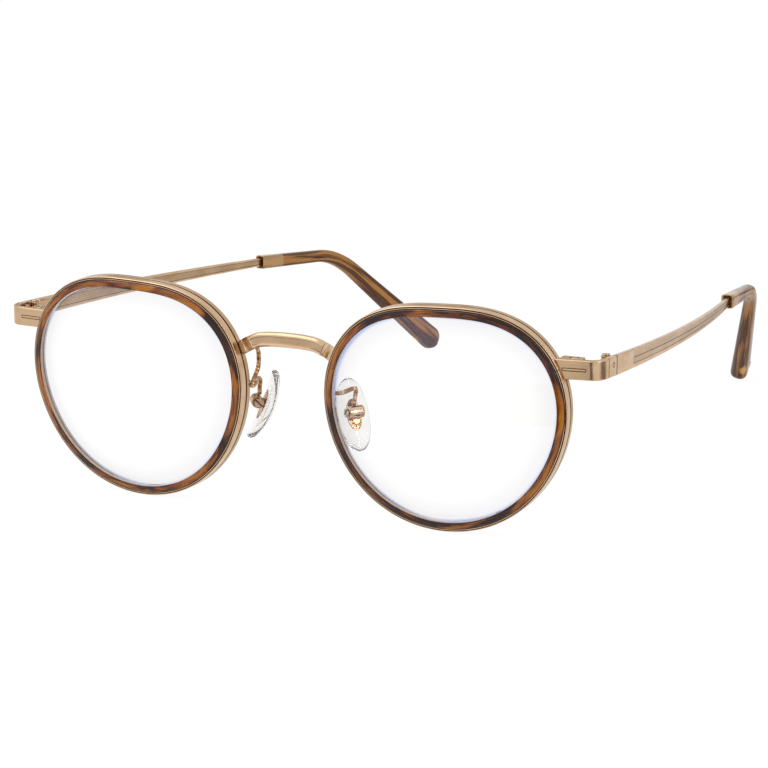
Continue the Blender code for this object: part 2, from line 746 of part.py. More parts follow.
def tip_size(distance):
    """(thickness, height) of the acetate tip at a distance along the temple."""
    beyond = distance - TEMPLE_LENGTH
    if beyond < TIP_STRAIGHT:
        share = beyond / TIP_STRAIGHT
        thickness = blend(TIP_MOUTH_THICKNESS, TIP_BEND_THICKNESS, share)
        return thickness, blend(TIP_MOUTH_HEIGHT, TIP_BEND_HEIGHT, share)
    share = (beyond - TIP_STRAIGHT) / (TIP_LENGTH - TIP_STRAIGHT)
    thickness = blend(TIP_BEND_THICKNESS, TIP_END_THICKNESS, share)
    return thickness, blend(TIP_BEND_HEIGHT, TIP_END_HEIGHT, share)


def add_tip(name, side, frame, material):
    """The sleeve: its bore from the bottom to the mouth, then its outside from the mouth to the round end."""
    rings = []
    for distance in reversed(tip_distances(core_length() + SEAT_GAP)):
        thickness, height, chamfer = metal_section(distance)
        rings.append(temple_ring(distance, rounded(thickness, height, chamfer, -SEAT_GAP)))
    thickness, height, chamfer = metal_section(TEMPLE_LENGTH)
    bore = rounded(thickness, height, chamfer, -SEAT_GAP)
    rings.append(temple_ring(TEMPLE_LENGTH + TIP_SOCKET_DEPTH + SEAT_GAP, bore))
    for depth in (TIP_SOCKET_DEPTH, 0.0):
        rings.append(temple_ring(TEMPLE_LENGTH + depth, rounded(thickness, height, chamfer, -TIP_SOCKET_GAP)))
    for depth, inset in ((0.0, TIP_EDGE), (TIP_EDGE, 0.0)):
        thickness, height = tip_size(TEMPLE_LENGTH + depth)
        rings.append(temple_ring(TEMPLE_LENGTH + depth, rounded(thickness, height, TIP_ROUND, inset)))
    for distance in tip_distances(TIP_LENGTH):
        thickness, height = tip_size(distance)
        rings.append(temple_ring(distance, rounded(thickness, height, TIP_ROUND)))
    thickness, height = tip_size(TEMPLE_LENGTH + TIP_LENGTH)
    for share in TIP_END_SHARES:
        narrow = math.sqrt(1 - share**2)
        section = rounded(thickness * blend(TIP_END_FLAT, 1.0, narrow), height * narrow, TIP_ROUND)
        rings.append(temple_ring(TEMPLE_LENGTH + TIP_LENGTH + TIP_END_HEIGHT / 2 * share, section))
    middle, _, _ = temple_station(TEMPLE_LENGTH + TIP_LENGTH + TIP_END_HEIGHT / 2)
    return add_piece(name, skin(rings, poles=(None, middle)), material, frame, side)


def add_disc(side, label, tip, frame, material):
    """A bare metal disc let into the outside of the tip, flush with it."""
    distance = TEMPLE_LENGTH + TIP_LENGTH - DISC_FROM_END
    middle, out, up = temple_station(distance)
    face = middle + up * DISC_RISE + out * tip_size(distance)[0] / 2
    pocket = [(DISC_RADIUS + SEAT_GAP, -DISC_THICKNESS - SEAT_GAP), (DISC_RADIUS + SEAT_GAP, CUT_BEYOND)]
    cutter = add_piece(f"disc_pocket_{label}", skin(turned(pocket, face, out)), material, frame, side)
    shape_with(tip, cutter, "DIFFERENCE")
    disc = skin(turned([(DISC_RADIUS, -DISC_THICKNESS), (DISC_RADIUS, 0.0)], face, out))
    add_piece(f"tip_disc_{label}", disc, material, frame, side)


def pad_centre():
    """The middle of the pad box, where the pad screw's axis is."""
    rim = nasal_side(PAD_BOX_Z)
    return Vector((rim.x + PAD_BOX_OUTBOARD, rim.y + PAD_BOX_BEHIND, PAD_BOX_Z))


def pad_rotation():
    return (0.0, -PAD_LEAN, -PAD_SPLAY)


def pad_turn():
    return Matrix.Rotation(-PAD_SPLAY, 3, "Z") @ Matrix.Rotation(-PAD_LEAN, 3, "Y")


def add_pad(name, side, frame, material):
    """An oval pad, bowed towards the nose, with a round edge. Its frame's X points away from the nose."""
    edge_thickness = (PAD_THICKNESS + PAD_EDGE) / 2
    turns = [2 * math.pi * i / PAD_STEPS for i in range(PAD_STEPS)]

    def point(share, thick, turn):
        y = PAD_WIDTH / 2 * share * math.cos(turn)
        z = PAD_HEIGHT / 2 * share * math.sin(turn)
        bow = PAD_BOW * (2 * z / PAD_HEIGHT) ** 2
        thickness = PAD_THICKNESS if share < PAD_EDGE_STARTS else edge_thickness
        return Vector((bow + thickness / 2 * thick - PAD_STANDOFF, PAD_SHIFT_BACK + y, z - PAD_DROP))

    rings = [[point(share, thick, turn) for turn in turns] for share, thick in PAD_SECTION]
    poles = (point(0.0, 1.0, 0.0), point(0.0, -1.0, 0.0))
    return add_piece(name, skin(rings, poles=poles), material, frame, side)


def oval_plate(low, high, width, height):
    turns = [2 * math.pi * i / ROUND_STEPS for i in range(ROUND_STEPS)]
    oval = [(PAD_SHIFT_BACK + width / 2 * math.cos(t), height / 2 * math.sin(t) - PAD_DROP) for t in turns]
    return skin([[Vector((x, y, z)) for y, z in oval] for x in (low, high)])


def pad_screw_bore(half):
    """The bore for the pad screw, through a piece that reaches this far either way from the middle."""
    radius = PAD_SCREW_RADIUS + SHANK_GAP
    return skin(turned([(radius, -half - CUT_BEYOND), (radius, half + CUT_BEYOND)], (0, 0, 0), (0, 1, 0)))


def add_pad_mount(side, label, pad, frame, material):
    """The plate let into the pad, with the tab that the pad screw goes through."""
    outer = PAD_THICKNESS / 2 - PAD_STANDOFF
    plate_high = outer + SEAT_GAP
    plate_low = plate_high - MOUNT_THICKNESS
    gaps = 2 * SEAT_GAP
    pocket = oval_plate(plate_low - SEAT_GAP, 0.0, MOUNT_WIDTH + gaps, MOUNT_HEIGHT + gaps)
    shape_with(pad, add_piece(f"mount_pocket_{label}", pocket, material, frame, side), "DIFFERENCE")
    plate = oval_plate(plate_low, plate_high, MOUNT_WIDTH, MOUNT_HEIGHT)
    mount = add_piece(f"pad_mount_{label}", plate, material, frame, side)
    half = TAB_THICKNESS / 2
    stem = box((plate_high - OVERLAP, -half, -TAB_RADIUS), (0.0, half, TAB_RADIUS))
    tab = add_piece(f"tab_stem_{label}", stem, material, frame, side)
    eye = skin(turned([(TAB_RADIUS, -half), (TAB_RADIUS, half)], (0, 0, 0), (0, 1, 0)))
    shape_with(tab, add_piece(f"tab_eye_{label}", eye, material, frame, side), "UNION")
    shape_with(mount, tab, "UNION")
    bore = add_piece(f"tab_bore_{label}", pad_screw_bore(half), material, frame, side)
    shape_with(mount, bore, "DIFFERENCE")


def add_pad_box(side, label, frame, material):
    """The barrel at the arm's end: slotted for the tab, and bored for the pad screw."""
    half = BOX_LENGTH / 2
    barrel = skin(turned([(BOX_RADIUS, -half), (BOX_RADIUS, half)], (0, 0, 0), (0, 1, 0), BOX_STEPS))
    barrel = add_piece(f"pad_box_{label}", barrel, material, frame, side)
    slot_half = TAB_THICKNESS / 2 + SEAT_GAP
    slot_high = TAB_RADIUS + RUN_GAP
    slot_low = (-BOX_RADIUS - CUT_BEYOND, -slot_half, -slot_high)
    slot = box(slot_low, (BOX_RADIUS - BOX_WALL, slot_half, slot_high))
    shape_with(barrel, add_piece(f"box_slot_{label}", slot, material, frame, side), "DIFFERENCE")
    bore = add_piece(f"box_bore_{label}", pad_screw_bore(half), material, frame, side)
    shape_with(barrel, bore, "DIFFERENCE")
    head = -half - SEAT_GAP
    profile = [
        (PAD_HEAD_RADIUS * HEAD_TAPER, head - PAD_HEAD_HEIGHT),
        (PAD_HEAD_RADIUS, head - PAD_HEAD_HEIGHT / 2),
        (PAD_HEAD_RADIUS, head),
        (PAD_SCREW_RADIUS, head),
        (PAD_SCREW_RADIUS, half),
    ]
    add_piece(f"pad_screw_{label}", skin(turned(profile, (0, 0, 0), (0, 1, 0))), material, frame, side)


def arm_route():
    """The wire's middle line: from the bridge's back down past the rim, then over into the pad box."""
    bridge_back = nasal_side(BRIDGE_RISE - BRIDGE_END_DROP).y + BRIDGE_BEVEL + SEAT_GAP
    start_z = BRIDGE_RISE - BRIDGE_NECK_DROP - ARM_BELOW
    start = Vector((BRIDGE_NECK_X + ARM_INBOARD, bridge_back, start_z))
    rim = nasal_side(ARM_TOUCH_Z)
    touch = Vector((rim.x - SEAT_GAP, rim.y + ARM_RADIUS + 2 * SEAT_GAP, ARM_TOUCH_Z))
    box_top = pad_centre() + pad_turn() @ Vector((0, 0, BOX_RADIUS + SEAT_GAP))
    over = box_top + Vector((SEAT_GAP, ARM_OVER_BACK, ARM_OVER_HEIGHT))
    # the offsets shape the wire's loop under the bridge, its dip at the rim and its hook over the box
    return [
        start,
        start + Vector((-0.15, 1.9, -0.5)),
        start + Vector((-0.15, 2.6, -2.0)),
        touch + Vector((-0.7, 1.4, 3.2)),
        touch + Vector((-0.25, 0.25, 1.0)),
        touch + Vector((0.1, 0.35, -0.1)),
        touch.lerp(over, 0.45) + Vector((0, 0, -0.45)),
        over + Vector((0, -0.9, 0.05)),
        over + Vector((0, 0.05, -0.55)),
        box_top.lerp(over, 0.35),
        box_top,
    ]


def add_arm(name, side, root, material):
    curve = bpy.data.curves.new(name, "CURVE")
    curve.dimensions = "3D"
    curve.bevel_depth = ARM_RADIUS * MM
    curve.bevel_resolution = 2
    curve.use_fill_caps = True
    route = smooth_route(arm_route(), ARM_STEPS)
    spline = curve.splines.new("POLY")
    spline.points.add(len(route) - 1)
    for slot, point in zip(spline.points, route):
        slot.co = (side * point.x * MM, point.y * MM, point.z * MM, 1.0)
    curve.materials.append(material)
    arm = bpy.data.objects.new(name, curve)
    bpy.context.scene.collection.objects.link(arm)
    arm.parent = root
    return arm


def world_points(pieces):
    graph = bpy.context.evaluated_depsgraph_get()
    points = []
    for piece in pieces:
        evaluated = piece.evaluated_get(graph)
        mesh = evaluated.to_mesh()
        points += [evaluated.matrix_world @ vert.co for vert in mesh.vertices]
        evaluated.to_mesh_clear()
    return points


def stand_up(root, rims, tips):
    """Tips the pair until rims and tips touch one level plane, with the origin in the middle of its base."""
    bpy.context.view_layer.update()
    front, back = world_points(rims), world_points(tips)
    tilt = 0.0
    for _ in range(TILT_TURNS):
        turn = Matrix.Rotation(tilt, 3, "X")
        low_front = min((turn @ p for p in front), key=lambda p: p.z)
        low_back = min((turn @ p for p in back), key=lambda p: p.z)
        tilt += math.atan2(low_front.z - low_back.z, low_back.y - low_front.y)
    root.rotation_euler = (tilt, 0, 0)
    bpy.context.view_layer.update()
    pieces = [obj for obj in bpy.data.objects if obj.type != "EMPTY" and not obj.hide_render]
    points = world_points(pieces)
    middle_y = (min(p.y for p in points) + max(p.y for p in points)) / 2
    root.location = (0, -middle_y, -min(p.z for p in points))


def main():
    clear_scene()
    gold = make_material("brushed_gold_metal", (0.78, 0.55, 0.36), 1.0, 0.3)
    acetate = make_material("tortoise_acetate", (0.36, 0.16, 0.06), 0.0, 0.12)
    tip_acetate = make_material("grey_brown_acetate", (0.30, 0.20, 0.13), 0.0, 0.12)
    clear = make_material("clear_lens", (0.95, 0.96, 1.0), 0.0, 0.02, 0.15)
    soft_clear = make_material("clear_pad", (0.92, 0.92, 0.9), 0.0, 0.15, 0.5)

    root = add_frame("eyeglasses")
    add_bridge(root, gold)
    rims, tips = [], []
    for label, side in SIDES.items():
        lens_frame = add_frame(f"lens_frame_{label}", (LENS_CENTRE_X, 0, 0), (0, 0, FRONT_WRAP), root, side)
        rims.append(add_rim(f"rim_{label}", side, lens_frame, gold))
        add_insert(f"rim_insert_{label}", side, lens_frame, acetate)
        add_lens(f"lens_{label}", side, lens_frame, clear)
        add_end_piece(f"end_piece_{label}", side, root, gold)
        add_closing_blocks(side, label, root, gold)

        slope = (-TEMPLE_SLOPE, 0, 0)
        front_axis = add_frame(f"hinge_axis_{label}", hinge_centre(), slope, root, side)
        temple_axis = add_frame(f"temple_axis_{label}", hinge_centre(), slope, root, side)
        add_hinge(side, label, front_axis, temple_axis, gold)
        add_temple(f"temple_{label}", side, temple_axis, gold)
        tip = add_tip(f"temple_tip_{label}", side, temple_axis, tip_acetate)
        add_disc(side, label, tip, temple_axis, gold)
        tips.append(tip)

        add_arm(f"pad_arm_{label}", side, root, gold)
        box_frame = add_frame(f"pad_box_frame_{label}", pad_centre(), pad_rotation(), root, side)
        pad_axis = add_frame(f"nose_pad_axis_{label}", pad_centre(), pad_rotation(), root, side)
        add_pad_box(side, label, box_frame, gold)
        pad = add_pad(f"nose_pad_{label}", side, pad_axis, soft_clear)
        add_pad_mount(side, label, pad, pad_axis, gold)
    stand_up(root, rims, tips)


main()
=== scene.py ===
"""Round eyeglasses: the detailed pieces over the solid part, on a plain pale floor in soft light.

The shapes are worked out in millimetres in the front's own frame, with X towards the wearer's left, Y
backwards and Z up from the middle between the lenses, and are then placed by the hinge of the solid part.
"""

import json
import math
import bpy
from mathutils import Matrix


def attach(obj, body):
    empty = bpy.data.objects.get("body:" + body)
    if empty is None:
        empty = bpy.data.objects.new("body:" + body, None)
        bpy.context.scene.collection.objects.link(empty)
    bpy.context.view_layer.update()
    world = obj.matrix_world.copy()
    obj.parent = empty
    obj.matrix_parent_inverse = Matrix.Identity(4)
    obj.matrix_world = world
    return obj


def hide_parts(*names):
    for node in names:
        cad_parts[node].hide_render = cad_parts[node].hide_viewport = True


bl_info = {
    "name": "Round Eyeglasses",
    "version": (1, 0, 0),
    "blender": (4, 5, 0),
    "location": "View3D > Sidebar > Eyeglasses",
    "description": "Builds the visible pieces of a pair of round eyeglasses over their solid part",
    "category": "Add Mesh",
}

import bmesh
import bpy
from mathutils import Matrix, Vector

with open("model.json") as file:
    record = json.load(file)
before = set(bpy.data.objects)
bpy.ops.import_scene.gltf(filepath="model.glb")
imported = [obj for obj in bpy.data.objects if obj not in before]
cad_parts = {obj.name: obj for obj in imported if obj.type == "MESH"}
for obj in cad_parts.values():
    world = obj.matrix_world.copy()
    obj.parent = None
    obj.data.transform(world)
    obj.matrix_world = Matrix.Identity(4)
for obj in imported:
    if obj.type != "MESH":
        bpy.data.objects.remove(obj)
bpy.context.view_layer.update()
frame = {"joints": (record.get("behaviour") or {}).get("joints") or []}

MM = 0.001
LEFT = 1
RIGHT = -1
SIDES = {"left": LEFT, "right": RIGHT}

# Sizes of the solid part, in millimetres
SEAT_GAP = 0.1
RUN_GAP = 0.15
SHANK_GAP = 0.05
LENS_WIDTH = 46.7
LENS_HEIGHT = 40.9
LENS_CORNER = 0.26
LENS_PANTO = 0.8
LENS_LEAN = 0.2
LENS_THICKNESS = 1.4
LENS_BEVEL = 0.65
LENS_DEPTH = 1.65
BRIDGE_WIDTH = 23.0
FRONT_WRAP = math.radians(3.3)
FRONT_CURVE_RADIUS = 99.0
INSERT_WIDTH = 1.4
INSERT_PROUD = 0.25
INSERT_ROUND = 0.35
RIM_DEPTH = 3.1
RIM_WALL = 0.51
RIM_LIP = 0.5
RIM_LIP_REACH = 0.9
RIM_SPLIT = 0.3
BRIDGE_RISE = 11.65
BRIDGE_SHOULDER_X = 5.6
BRIDGE_SHOULDER_DROP = 0.35
BRIDGE_NECK_X = 8.3
BRIDGE_NECK_DROP = 1.3
BRIDGE_END_DROP = 2.45
BRIDGE_HEIGHT = 2.9
BRIDGE_THICKNESS = 1.6
BRIDGE_BEVEL = 0.4
BRIDGE_BORDER = 0.35
BRIDGE_PANEL_DEPTH = 0.2
BRIDGE_FORWARD = 0.4
END_Z = 10.75
END_HEIGHT = 3.85
END_THICKNESS = 1.2
END_SETBACK = 0.75
END_REACH = 6.6
END_ANGLE = math.radians(6.0)
END_BEND_RADIUS = 3.0
END_SIDE_LENGTH = 3.9
SPLIT_GAP = 0.3
CLOSING_WIDTH = 3.6
CLOSING_DEPTH = 2.4
CLOSING_HEIGHT = 3.6
CLOSING_SCREW_RADIUS = 0.55
CLOSING_HEAD_RADIUS = 0.8
CLOSING_HEAD_HEIGHT = 0.4
HINGE_INSET = 2.3
KNUCKLE_RADIUS = 1.0
KNUCKLE_HEIGHT = 1.1
HINGE_SCREW_RADIUS = 0.45
HINGE_HEAD_RADIUS = 0.8
HINGE_HEAD_HEIGHT = 0.2
LEAF_THICKNESS = 0.6
LEAF_HEIGHT = 3.0
LEAF_FRONT_LENGTH = 2.0
LEAF_TEMPLE_LENGTH = 3.6
LEAF_START = 1.3
TEMPLE_SLOPE = math.radians(4.6)
TEMPLE_LENGTH = 80.7
TEMPLE_SWEEP = 9.1
TEMPLE_BOW = 2.4
TEMPLE_END_HEIGHT = 1.8
TEMPLE_END_THICKNESS = 1.0
TEMPLE_CHAMFER = 0.22
TANG_LENGTH = 10.0
CORE_HEIGHT = 1.1
CORE_THICKNESS = 0.8
CORE_CHAMFER = 0.18
CORE_STOP = 6.0
TIP_STRAIGHT = 20.6
TIP_BEND_RADIUS = 19.0
TIP_LEG = 29.3
TIP_DROOP = math.radians(2.7)
TIP_BEND = math.radians(42.0)
TIP_TOE_IN = math.radians(10.5)
TIP_LEG_TOE_IN = math.radians(19.5)
TIP_MOUTH_HEIGHT = 3.0
TIP_MOUTH_THICKNESS = 2.7
TIP_BEND_HEIGHT = 2.8
TIP_BEND_THICKNESS = 2.3
TIP_END_HEIGHT = 5.4
TIP_END_THICKNESS = 4.0
TIP_ROUND = 0.75
TIP_MORE_ROUND = 1.2
TIP_SOCKET_GAP = 0.42
TIP_SOCKET_DEPTH = 1.5
TIP_EDGE = 0.2
TIP_END_FLAT = 0.6
DISC_RADIUS = 0.9
DISC_THICKNESS = 0.45
DISC_FROM_END = 0.6
DISC_RISE = 1.0
PAD_BOX_BEHIND = 6.4
PAD_BOX_OUTBOARD = 1.7
PAD_BOX_Z = -3.5
PAD_SPLAY = math.radians(40.0)
PAD_LEAN = math.radians(24.0)
PAD_STANDOFF = 2.5
PAD_SHIFT_BACK = 0.2
PAD_DROP = 0.3
PAD_WIDTH = 7.0
PAD_HEIGHT = 14.8
PAD_THICKNESS = 2.1
PAD_EDGE = 1.1
PAD_BOW = 1.1
MOUNT_WIDTH = 3.0
MOUNT_HEIGHT = 6.4
MOUNT_THICKNESS = 0.5
TAB_THICKNESS = 1.0
TAB_RADIUS = 0.85
BOX_RADIUS = 1.25
BOX_LENGTH = 3.2
BOX_WALL = 0.3
PAD_SCREW_RADIUS = 0.42
PAD_HEAD_RADIUS = 0.9
PAD_HEAD_HEIGHT = 0.4
ARM_RADIUS = 0.45
ARM_INBOARD = 0.6
ARM_BELOW = 1.2
ARM_TOUCH_Z = 1.6
ARM_OVER_HEIGHT = 3.4
ARM_OVER_BACK = 0.7

CHANNEL_WALL = INSERT_WIDTH + SEAT_GAP
RIM_OFFSET = CHANNEL_WALL + RIM_WALL
RIM_FRONT = INSERT_PROUD
RIM_BACK = RIM_FRONT + RIM_DEPTH
LENS_CENTRE_X = (BRIDGE_WIDTH + LENS_WIDTH) / 2
SIDE_X = LENS_CENTRE_X + LENS_WIDTH / 2 + RIM_OFFSET + END_REACH
HINGE_X = SIDE_X - HINGE_INSET
TIP_BEND_LENGTH = TIP_BEND_RADIUS * (TIP_BEND - TIP_DROOP)
TIP_LENGTH = TIP_STRAIGHT + TIP_BEND_LENGTH + TIP_LEG
CORE_END = TEMPLE_LENGTH + TIP_LENGTH - CORE_STOP

# Fine detail that the solid part doesn't have, in millimetres
EYEWIRE_BEAD = 0.17
EYEWIRE_BAND = 1.05
PANEL_END_X = BRIDGE_NECK_X - 0.25
PANEL_RAMP = 0.12
FACET_LENGTH = 1.5
FACET_STEP = 0.14
END_GROOVE = 0.14
SLOT_LENGTH = 4.9
SLOT_HEIGHT = 0.68
SLOT_LINE = 0.15
SLOT_DEPTH = 0.13
SLOT_OUTBOARD = 2.8
SLOT_RISE = 0.05
RIVET_BACK = 2.45
RIVET_RISE = 0.35
RIVET_RADIUS = 0.5
RIVET_LINE = 0.16
RIVET_DEPTH = 0.12
HEAD_EDGE = 0.12
HINGE_HEAD_EDGE = 0.09
# The width and depth of the slots in the screws' heads, and how far they are turned
SCREW_SLOT = (0.3, 0.22)
HINGE_SLOT = (0.26, 0.14)
SCREW_TURN = math.radians(25)
PANEL_START_RAMP = 0.15
PANEL_RUN_OUT = 2.0
TIP_FLARE_GAP = 0.5
DISC_PROUD = 0.05
SOLDER_SWELL = 0.42
PAD_CROWN_REACH = 2.7

# The camera, in the front's frame in millimetres, fitted to the photograph's outlines
VIEW_SPOT = (308.6, -541.7, 145.6)
VIEW_FORWARD = (-0.4539, 0.8629, -0.2223)
VIEW_UP = (-0.0905, 0.2036, 0.9749)
VIEW_LEAN = math.radians(2.2)
VIEW_FOCAL_PIXELS = 3262.77
VIEW_PIXELS = 768
SENSOR_WIDTH = 36

# Finishes of a metal piece, by its material slots, and the finish in a cut where a piece has only two
# the recessed finish is painted shade in grooves, slots and sunk walls; so is a two-finish piece's cut
SATIN, POLISHED, MILLED, RECESS_SHADE = range(4)
CUT = 1

# Between these values lies most of a noise texture
PATTERN_RANGE = (0.3, 0.7)
# How far a right-hand piece's patterns are moved on, in millimetres
PATTERN_STEP = (157.0, 0.0, 0.0)
ACETATE_IOR = 1.48

# The facets of round and swept shapes, and the angle from which an edge is a sharp one
RING_STEPS = 240
ROUND_STEPS = 40
WIRE_STEPS = 160
WIRE_SIDES = 24
END_BEND_STEPS = 28
TIP_STEPS = 70
SOLDER_STEPS = 16
PAD_STEPS = 72
SHARP_ANGLE = math.radians(38)

# A square's corners, in order round it
CORNERS = ((1, -1), (1, 1), (-1, 1), (-1, -1))
# Between which angles of the lens outline its temple side and its nose side lie
TEMPLE_SIDE_ANGLES = (-1.2, 1.2)
NOSE_SIDE_ANGLES = (math.pi * 0.55, math.pi * 1.45)
# The place of what is drawn in the front's own frame
FRONT_PLACE = Matrix.Identity(4)


def linear(colour):
    """An sRGB hex colour as linear red, green and blue."""
    values = [int(colour[i : i + 2], 16) / 255 for i in (1, 3, 5)]
    return tuple(v / 12.92 if v <= 0.04045 else ((v + 0.055) / 1.055) ** 2.4 for v in values)


def hex_property(name, description, colour):
    return bpy.props.FloatVectorProperty(
        name=name, description=description, default=linear(colour), size=3, min=0, max=1, subtype="COLOR"
    )


def share_property(name, description, share):
    return bpy.props.FloatProperty(
        name=name, description=description, default=share, min=0, max=1, subtype="FACTOR"
    )


def size_property(name, description, millimetres):
    return bpy.props.FloatProperty(
        name=name, description=description, default=millimetres * MM, min=0, precision=5, unit="LENGTH"
    )


class MetalSettings(bpy.types.PropertyGroup):
    gold: hex_property("Plating", "Colour of the rose gold plating", "#C9AB8A")
    polished: hex_property("Polished edges", "Colour of the plating where it is polished", "#D6B999")
    # painted shade: the grooves' dark brown stands in for the shadow down in them
    groove_shade: hex_property("Grooves", "Colour of the plating down in the grooves", "#5A3820")
    # painted reflection: the buffed parts' dark brown stands in for dark surroundings that their polish
    # reflects
    facet_dark_reflection: hex_property("Buffed parts", "Darker colour of the bridge's facets and the pads' metal", "#8E6232")
    steel: hex_property("Screws", "Colour of the pad screws", "#B09A80")
    satin: share_property("Satin roughness", "How dull the brushed faces are", 0.22)
    polish: share_property("Polished roughness", "How dull the polished edges are", 0.12)
    brush_pitch: size_property("Brush lines", "Spacing of the brushing on the faces", 0.3)
    mill_pitch: size_property("Milling", "Spacing of the milled lines on the eyewires", 0.5)
    groove_width: size_property("Groove width", "Width of the grooves along the eyewires", 0.16)
    groove_depth: size_property("Groove depth", "Depth of the grooves along the eyewires", 0.17)
    panel_depth: size_property("Temple panels", "How deep the temples' panels lie", 0.12)
    panel_start: size_property("Panel start", "From the hinge to where a temple's panel starts", 8.2)
    rim_cut: size_property("Eyewire cut", "Gap of the cut that lets an eyewire open for its lens", 0.12)
    edge: size_property("Broken edges", "Rounding of the closing blocks' edges", 0.16)


class AcetateSettings(bpy.types.PropertyGroup):
    honey: hex_property("Honey", "Lightest tortoise colour", "#B87424")
    amber: hex_property("Amber", "Main tortoise colour", "#87491A")
    brown: hex_property("Brown", "Dark tortoise colour", "#56290F")
    black: hex_property("Blotches", "Darkest tortoise colour", "#2A1006")
    red: hex_property("Flecks", "Reddish flecks in the tortoise", "#7A2F14")
    # painted reflection: the inner wall's pale colour stands in for the white surroundings it reflects at a
    # grazing angle
    wall: hex_property("Inner wall", "The ring's inner wall, which the light shines through", "#DFC7AC")
    tip_grey: hex_property("Tip grey", "Outermost layers of the ear tips", "#6C5040")
    tip_brown: hex_property("Tip brown", "Dark streaks of the ear tips", "#55341F")
    tip_amber: hex_property("Tip amber", "Light streaks of the ear tips", "#BE854A")
    # painted: the pale gold of the bar inside, as seen through the clear acetate of the mouth
    tip_clear: hex_property("Tip mouth", "Paler end of the ear tips, where the bar shines through", "#DDB88A")
    # a painted golden highlight on the outside of the tip, near its end
    tip_painted_glint: hex_property("Disc shine", "The disc in a tip's outside, as it shines through", "#F4B65E")
    blotch_length: size_property("Blotch length", "Length of a blotch along the ring", 12.0)
    streak_width: size_property("Streak width", "Width of a streak in the acetate", 0.45)


class ClearSettings(bpy.types.PropertyGroup):
    lens: hex_property("Lens", "Tint of the lens in its middle", "#FFFFFF")
    # painted shade towards the lens's edge, and a painted blue reflection at its very edge
    lens_edge_painted_shade: hex_property("Lens edge", "Tint of the lens towards its edge", "#F3F2F4")
    rim_painted_reflection: hex_property("Lens rim", "Tint of the lens at its very edge", "#B8C7F0")
    coat: hex_property("Lens coat", "Colour that the lens's coat reflects", "#C9D4FF")
    pad: hex_property("Nose pads", "Colour of the clear pads", "#FBFAF7")


class StageSettings(bpy.types.PropertyGroup):
    floor: hex_property("Floor", "Colour of the floor and the surroundings", "#FFFFFF")
    shadow: share_property("Shadow", "How much of the floor's brightness the shadow can take away", 0.12)
    sky: bpy.props.FloatProperty(name="Sky", description="Strength of the soft light all round", default=0.55)
    key: bpy.props.FloatProperty(
        name="Key lamp", description="Power of the large lamp above and to the left", default=2.2,
        unit="POWER",
    )
    fill: bpy.props.FloatProperty(
        name="Fill lamp", description="Power of the lamp on the right", default=0.8, unit="POWER"
    )


def in_mm(length):
    return length / MM


# The lines of the front and the temples


def outline_radius(angle):
    """The lens outline's radius, and its rate of change, at an angle from the temple side."""
    mean = (LENS_WIDTH + LENS_HEIGHT) / 4 + LENS_CORNER
    oval = (LENS_WIDTH - LENS_HEIGHT) / 4
    radius = mean + oval * math.cos(2 * angle) + LENS_LEAN * math.sin(2 * angle)
    radius += LENS_PANTO * math.sin(3 * angle) - LENS_CORNER * math.cos(4 * angle)
    rate = 2 * LENS_LEAN * math.cos(2 * angle) - 2 * oval * math.sin(2 * angle)
    rate += 3 * LENS_PANTO * math.cos(3 * angle) + 4 * LENS_CORNER * math.sin(4 * angle)
    return radius, rate


def outline_point(angle, offset=0.0):
    """(across, up) of the outline moved outwards by offset, square to itself."""
    radius, rate = outline_radius(angle)
    cos, sin = math.cos(angle), math.sin(angle)
    along = Vector((rate * cos - radius * sin, rate * sin + radius * cos)).normalized()
    return radius * cos + offset * along.y, radius * sin - offset * along.x


def face_depth(across, up):
    """How far the front's curve lies back at a point of the lens."""
    return FRONT_CURVE_RADIUS - math.sqrt(FRONT_CURVE_RADIUS**2 - across**2 - up**2)


def ring_point(angle, offset, depth):
    across, up = outline_point(angle, offset)
    return Vector((across, face_depth(across, up) + depth, up))


def lens_place():
    """Where the left lens's own frame lies in the front's frame."""
    return Matrix.Translation((LENS_CENTRE_X, 0, 0)) @ Matrix.Rotation(FRONT_WRAP, 4, "Z")


def rim_angle(height, low, high):
    """The outline angle, between low and high, at which the rim's outer side is at this height."""
    rising = outline_point(high, RIM_OFFSET)[1] > outline_point(low, RIM_OFFSET)[1]
    for _ in range(50):
        middle = (low + high) / 2
        if (outline_point(middle, RIM_OFFSET)[1] < height) == rising:
            low = middle
        else:
            high = middle
    return (low + high) / 2


def nasal_side(height):
    """A point of the left rim's back edge, on its nose side, in the front's frame."""
    angle = rim_angle(height, *NOSE_SIDE_ANGLES)
    return lens_place() @ ring_point(angle, RIM_OFFSET, RIM_BACK)


def temple_side(height):
    """A point of the left rim's front edge, on its temple side, in the front's frame."""
    angle = rim_angle(height, *TEMPLE_SIDE_ANGLES)
    return lens_place() @ ring_point(angle, RIM_OFFSET, RIM_FRONT + END_SETBACK)


def end_front_line(x):
    """Y of the end piece's front face at this X."""
    beside = temple_side(END_Z)
    return beside.y + (x - beside.x) * math.tan(END_ANGLE)


def bend_end():
    """Y at which the end piece's bend is done and its side runs straight back."""
    return end_front_line(SIDE_X) + END_BEND_RADIUS * math.tan((math.pi / 2 - END_ANGLE) / 2)


def hinge_centre():
    drop = END_SIDE_LENGTH * math.tan(TEMPLE_SLOPE)
    return Vector((HINGE_X, bend_end() + END_SIDE_LENGTH, END_Z - drop))


def hinge_place():
    return Matrix.Translation(hinge_centre()) @ Matrix.Rotation(-TEMPLE_SLOPE, 4, "X")


def pad_place():
    """The pad box's frame: its Y is the pad screw's axis and its X points away from the nose."""
    rim = nasal_side(PAD_BOX_Z)
    centre = Vector((rim.x + PAD_BOX_OUTBOARD, rim.y + PAD_BOX_BEHIND, PAD_BOX_Z))
    turn = Matrix.Rotation(-PAD_SPLAY, 4, "Z") @ Matrix.Rotation(-PAD_LEAN, 4, "Y")
    return Matrix.Translation(centre) @ turn


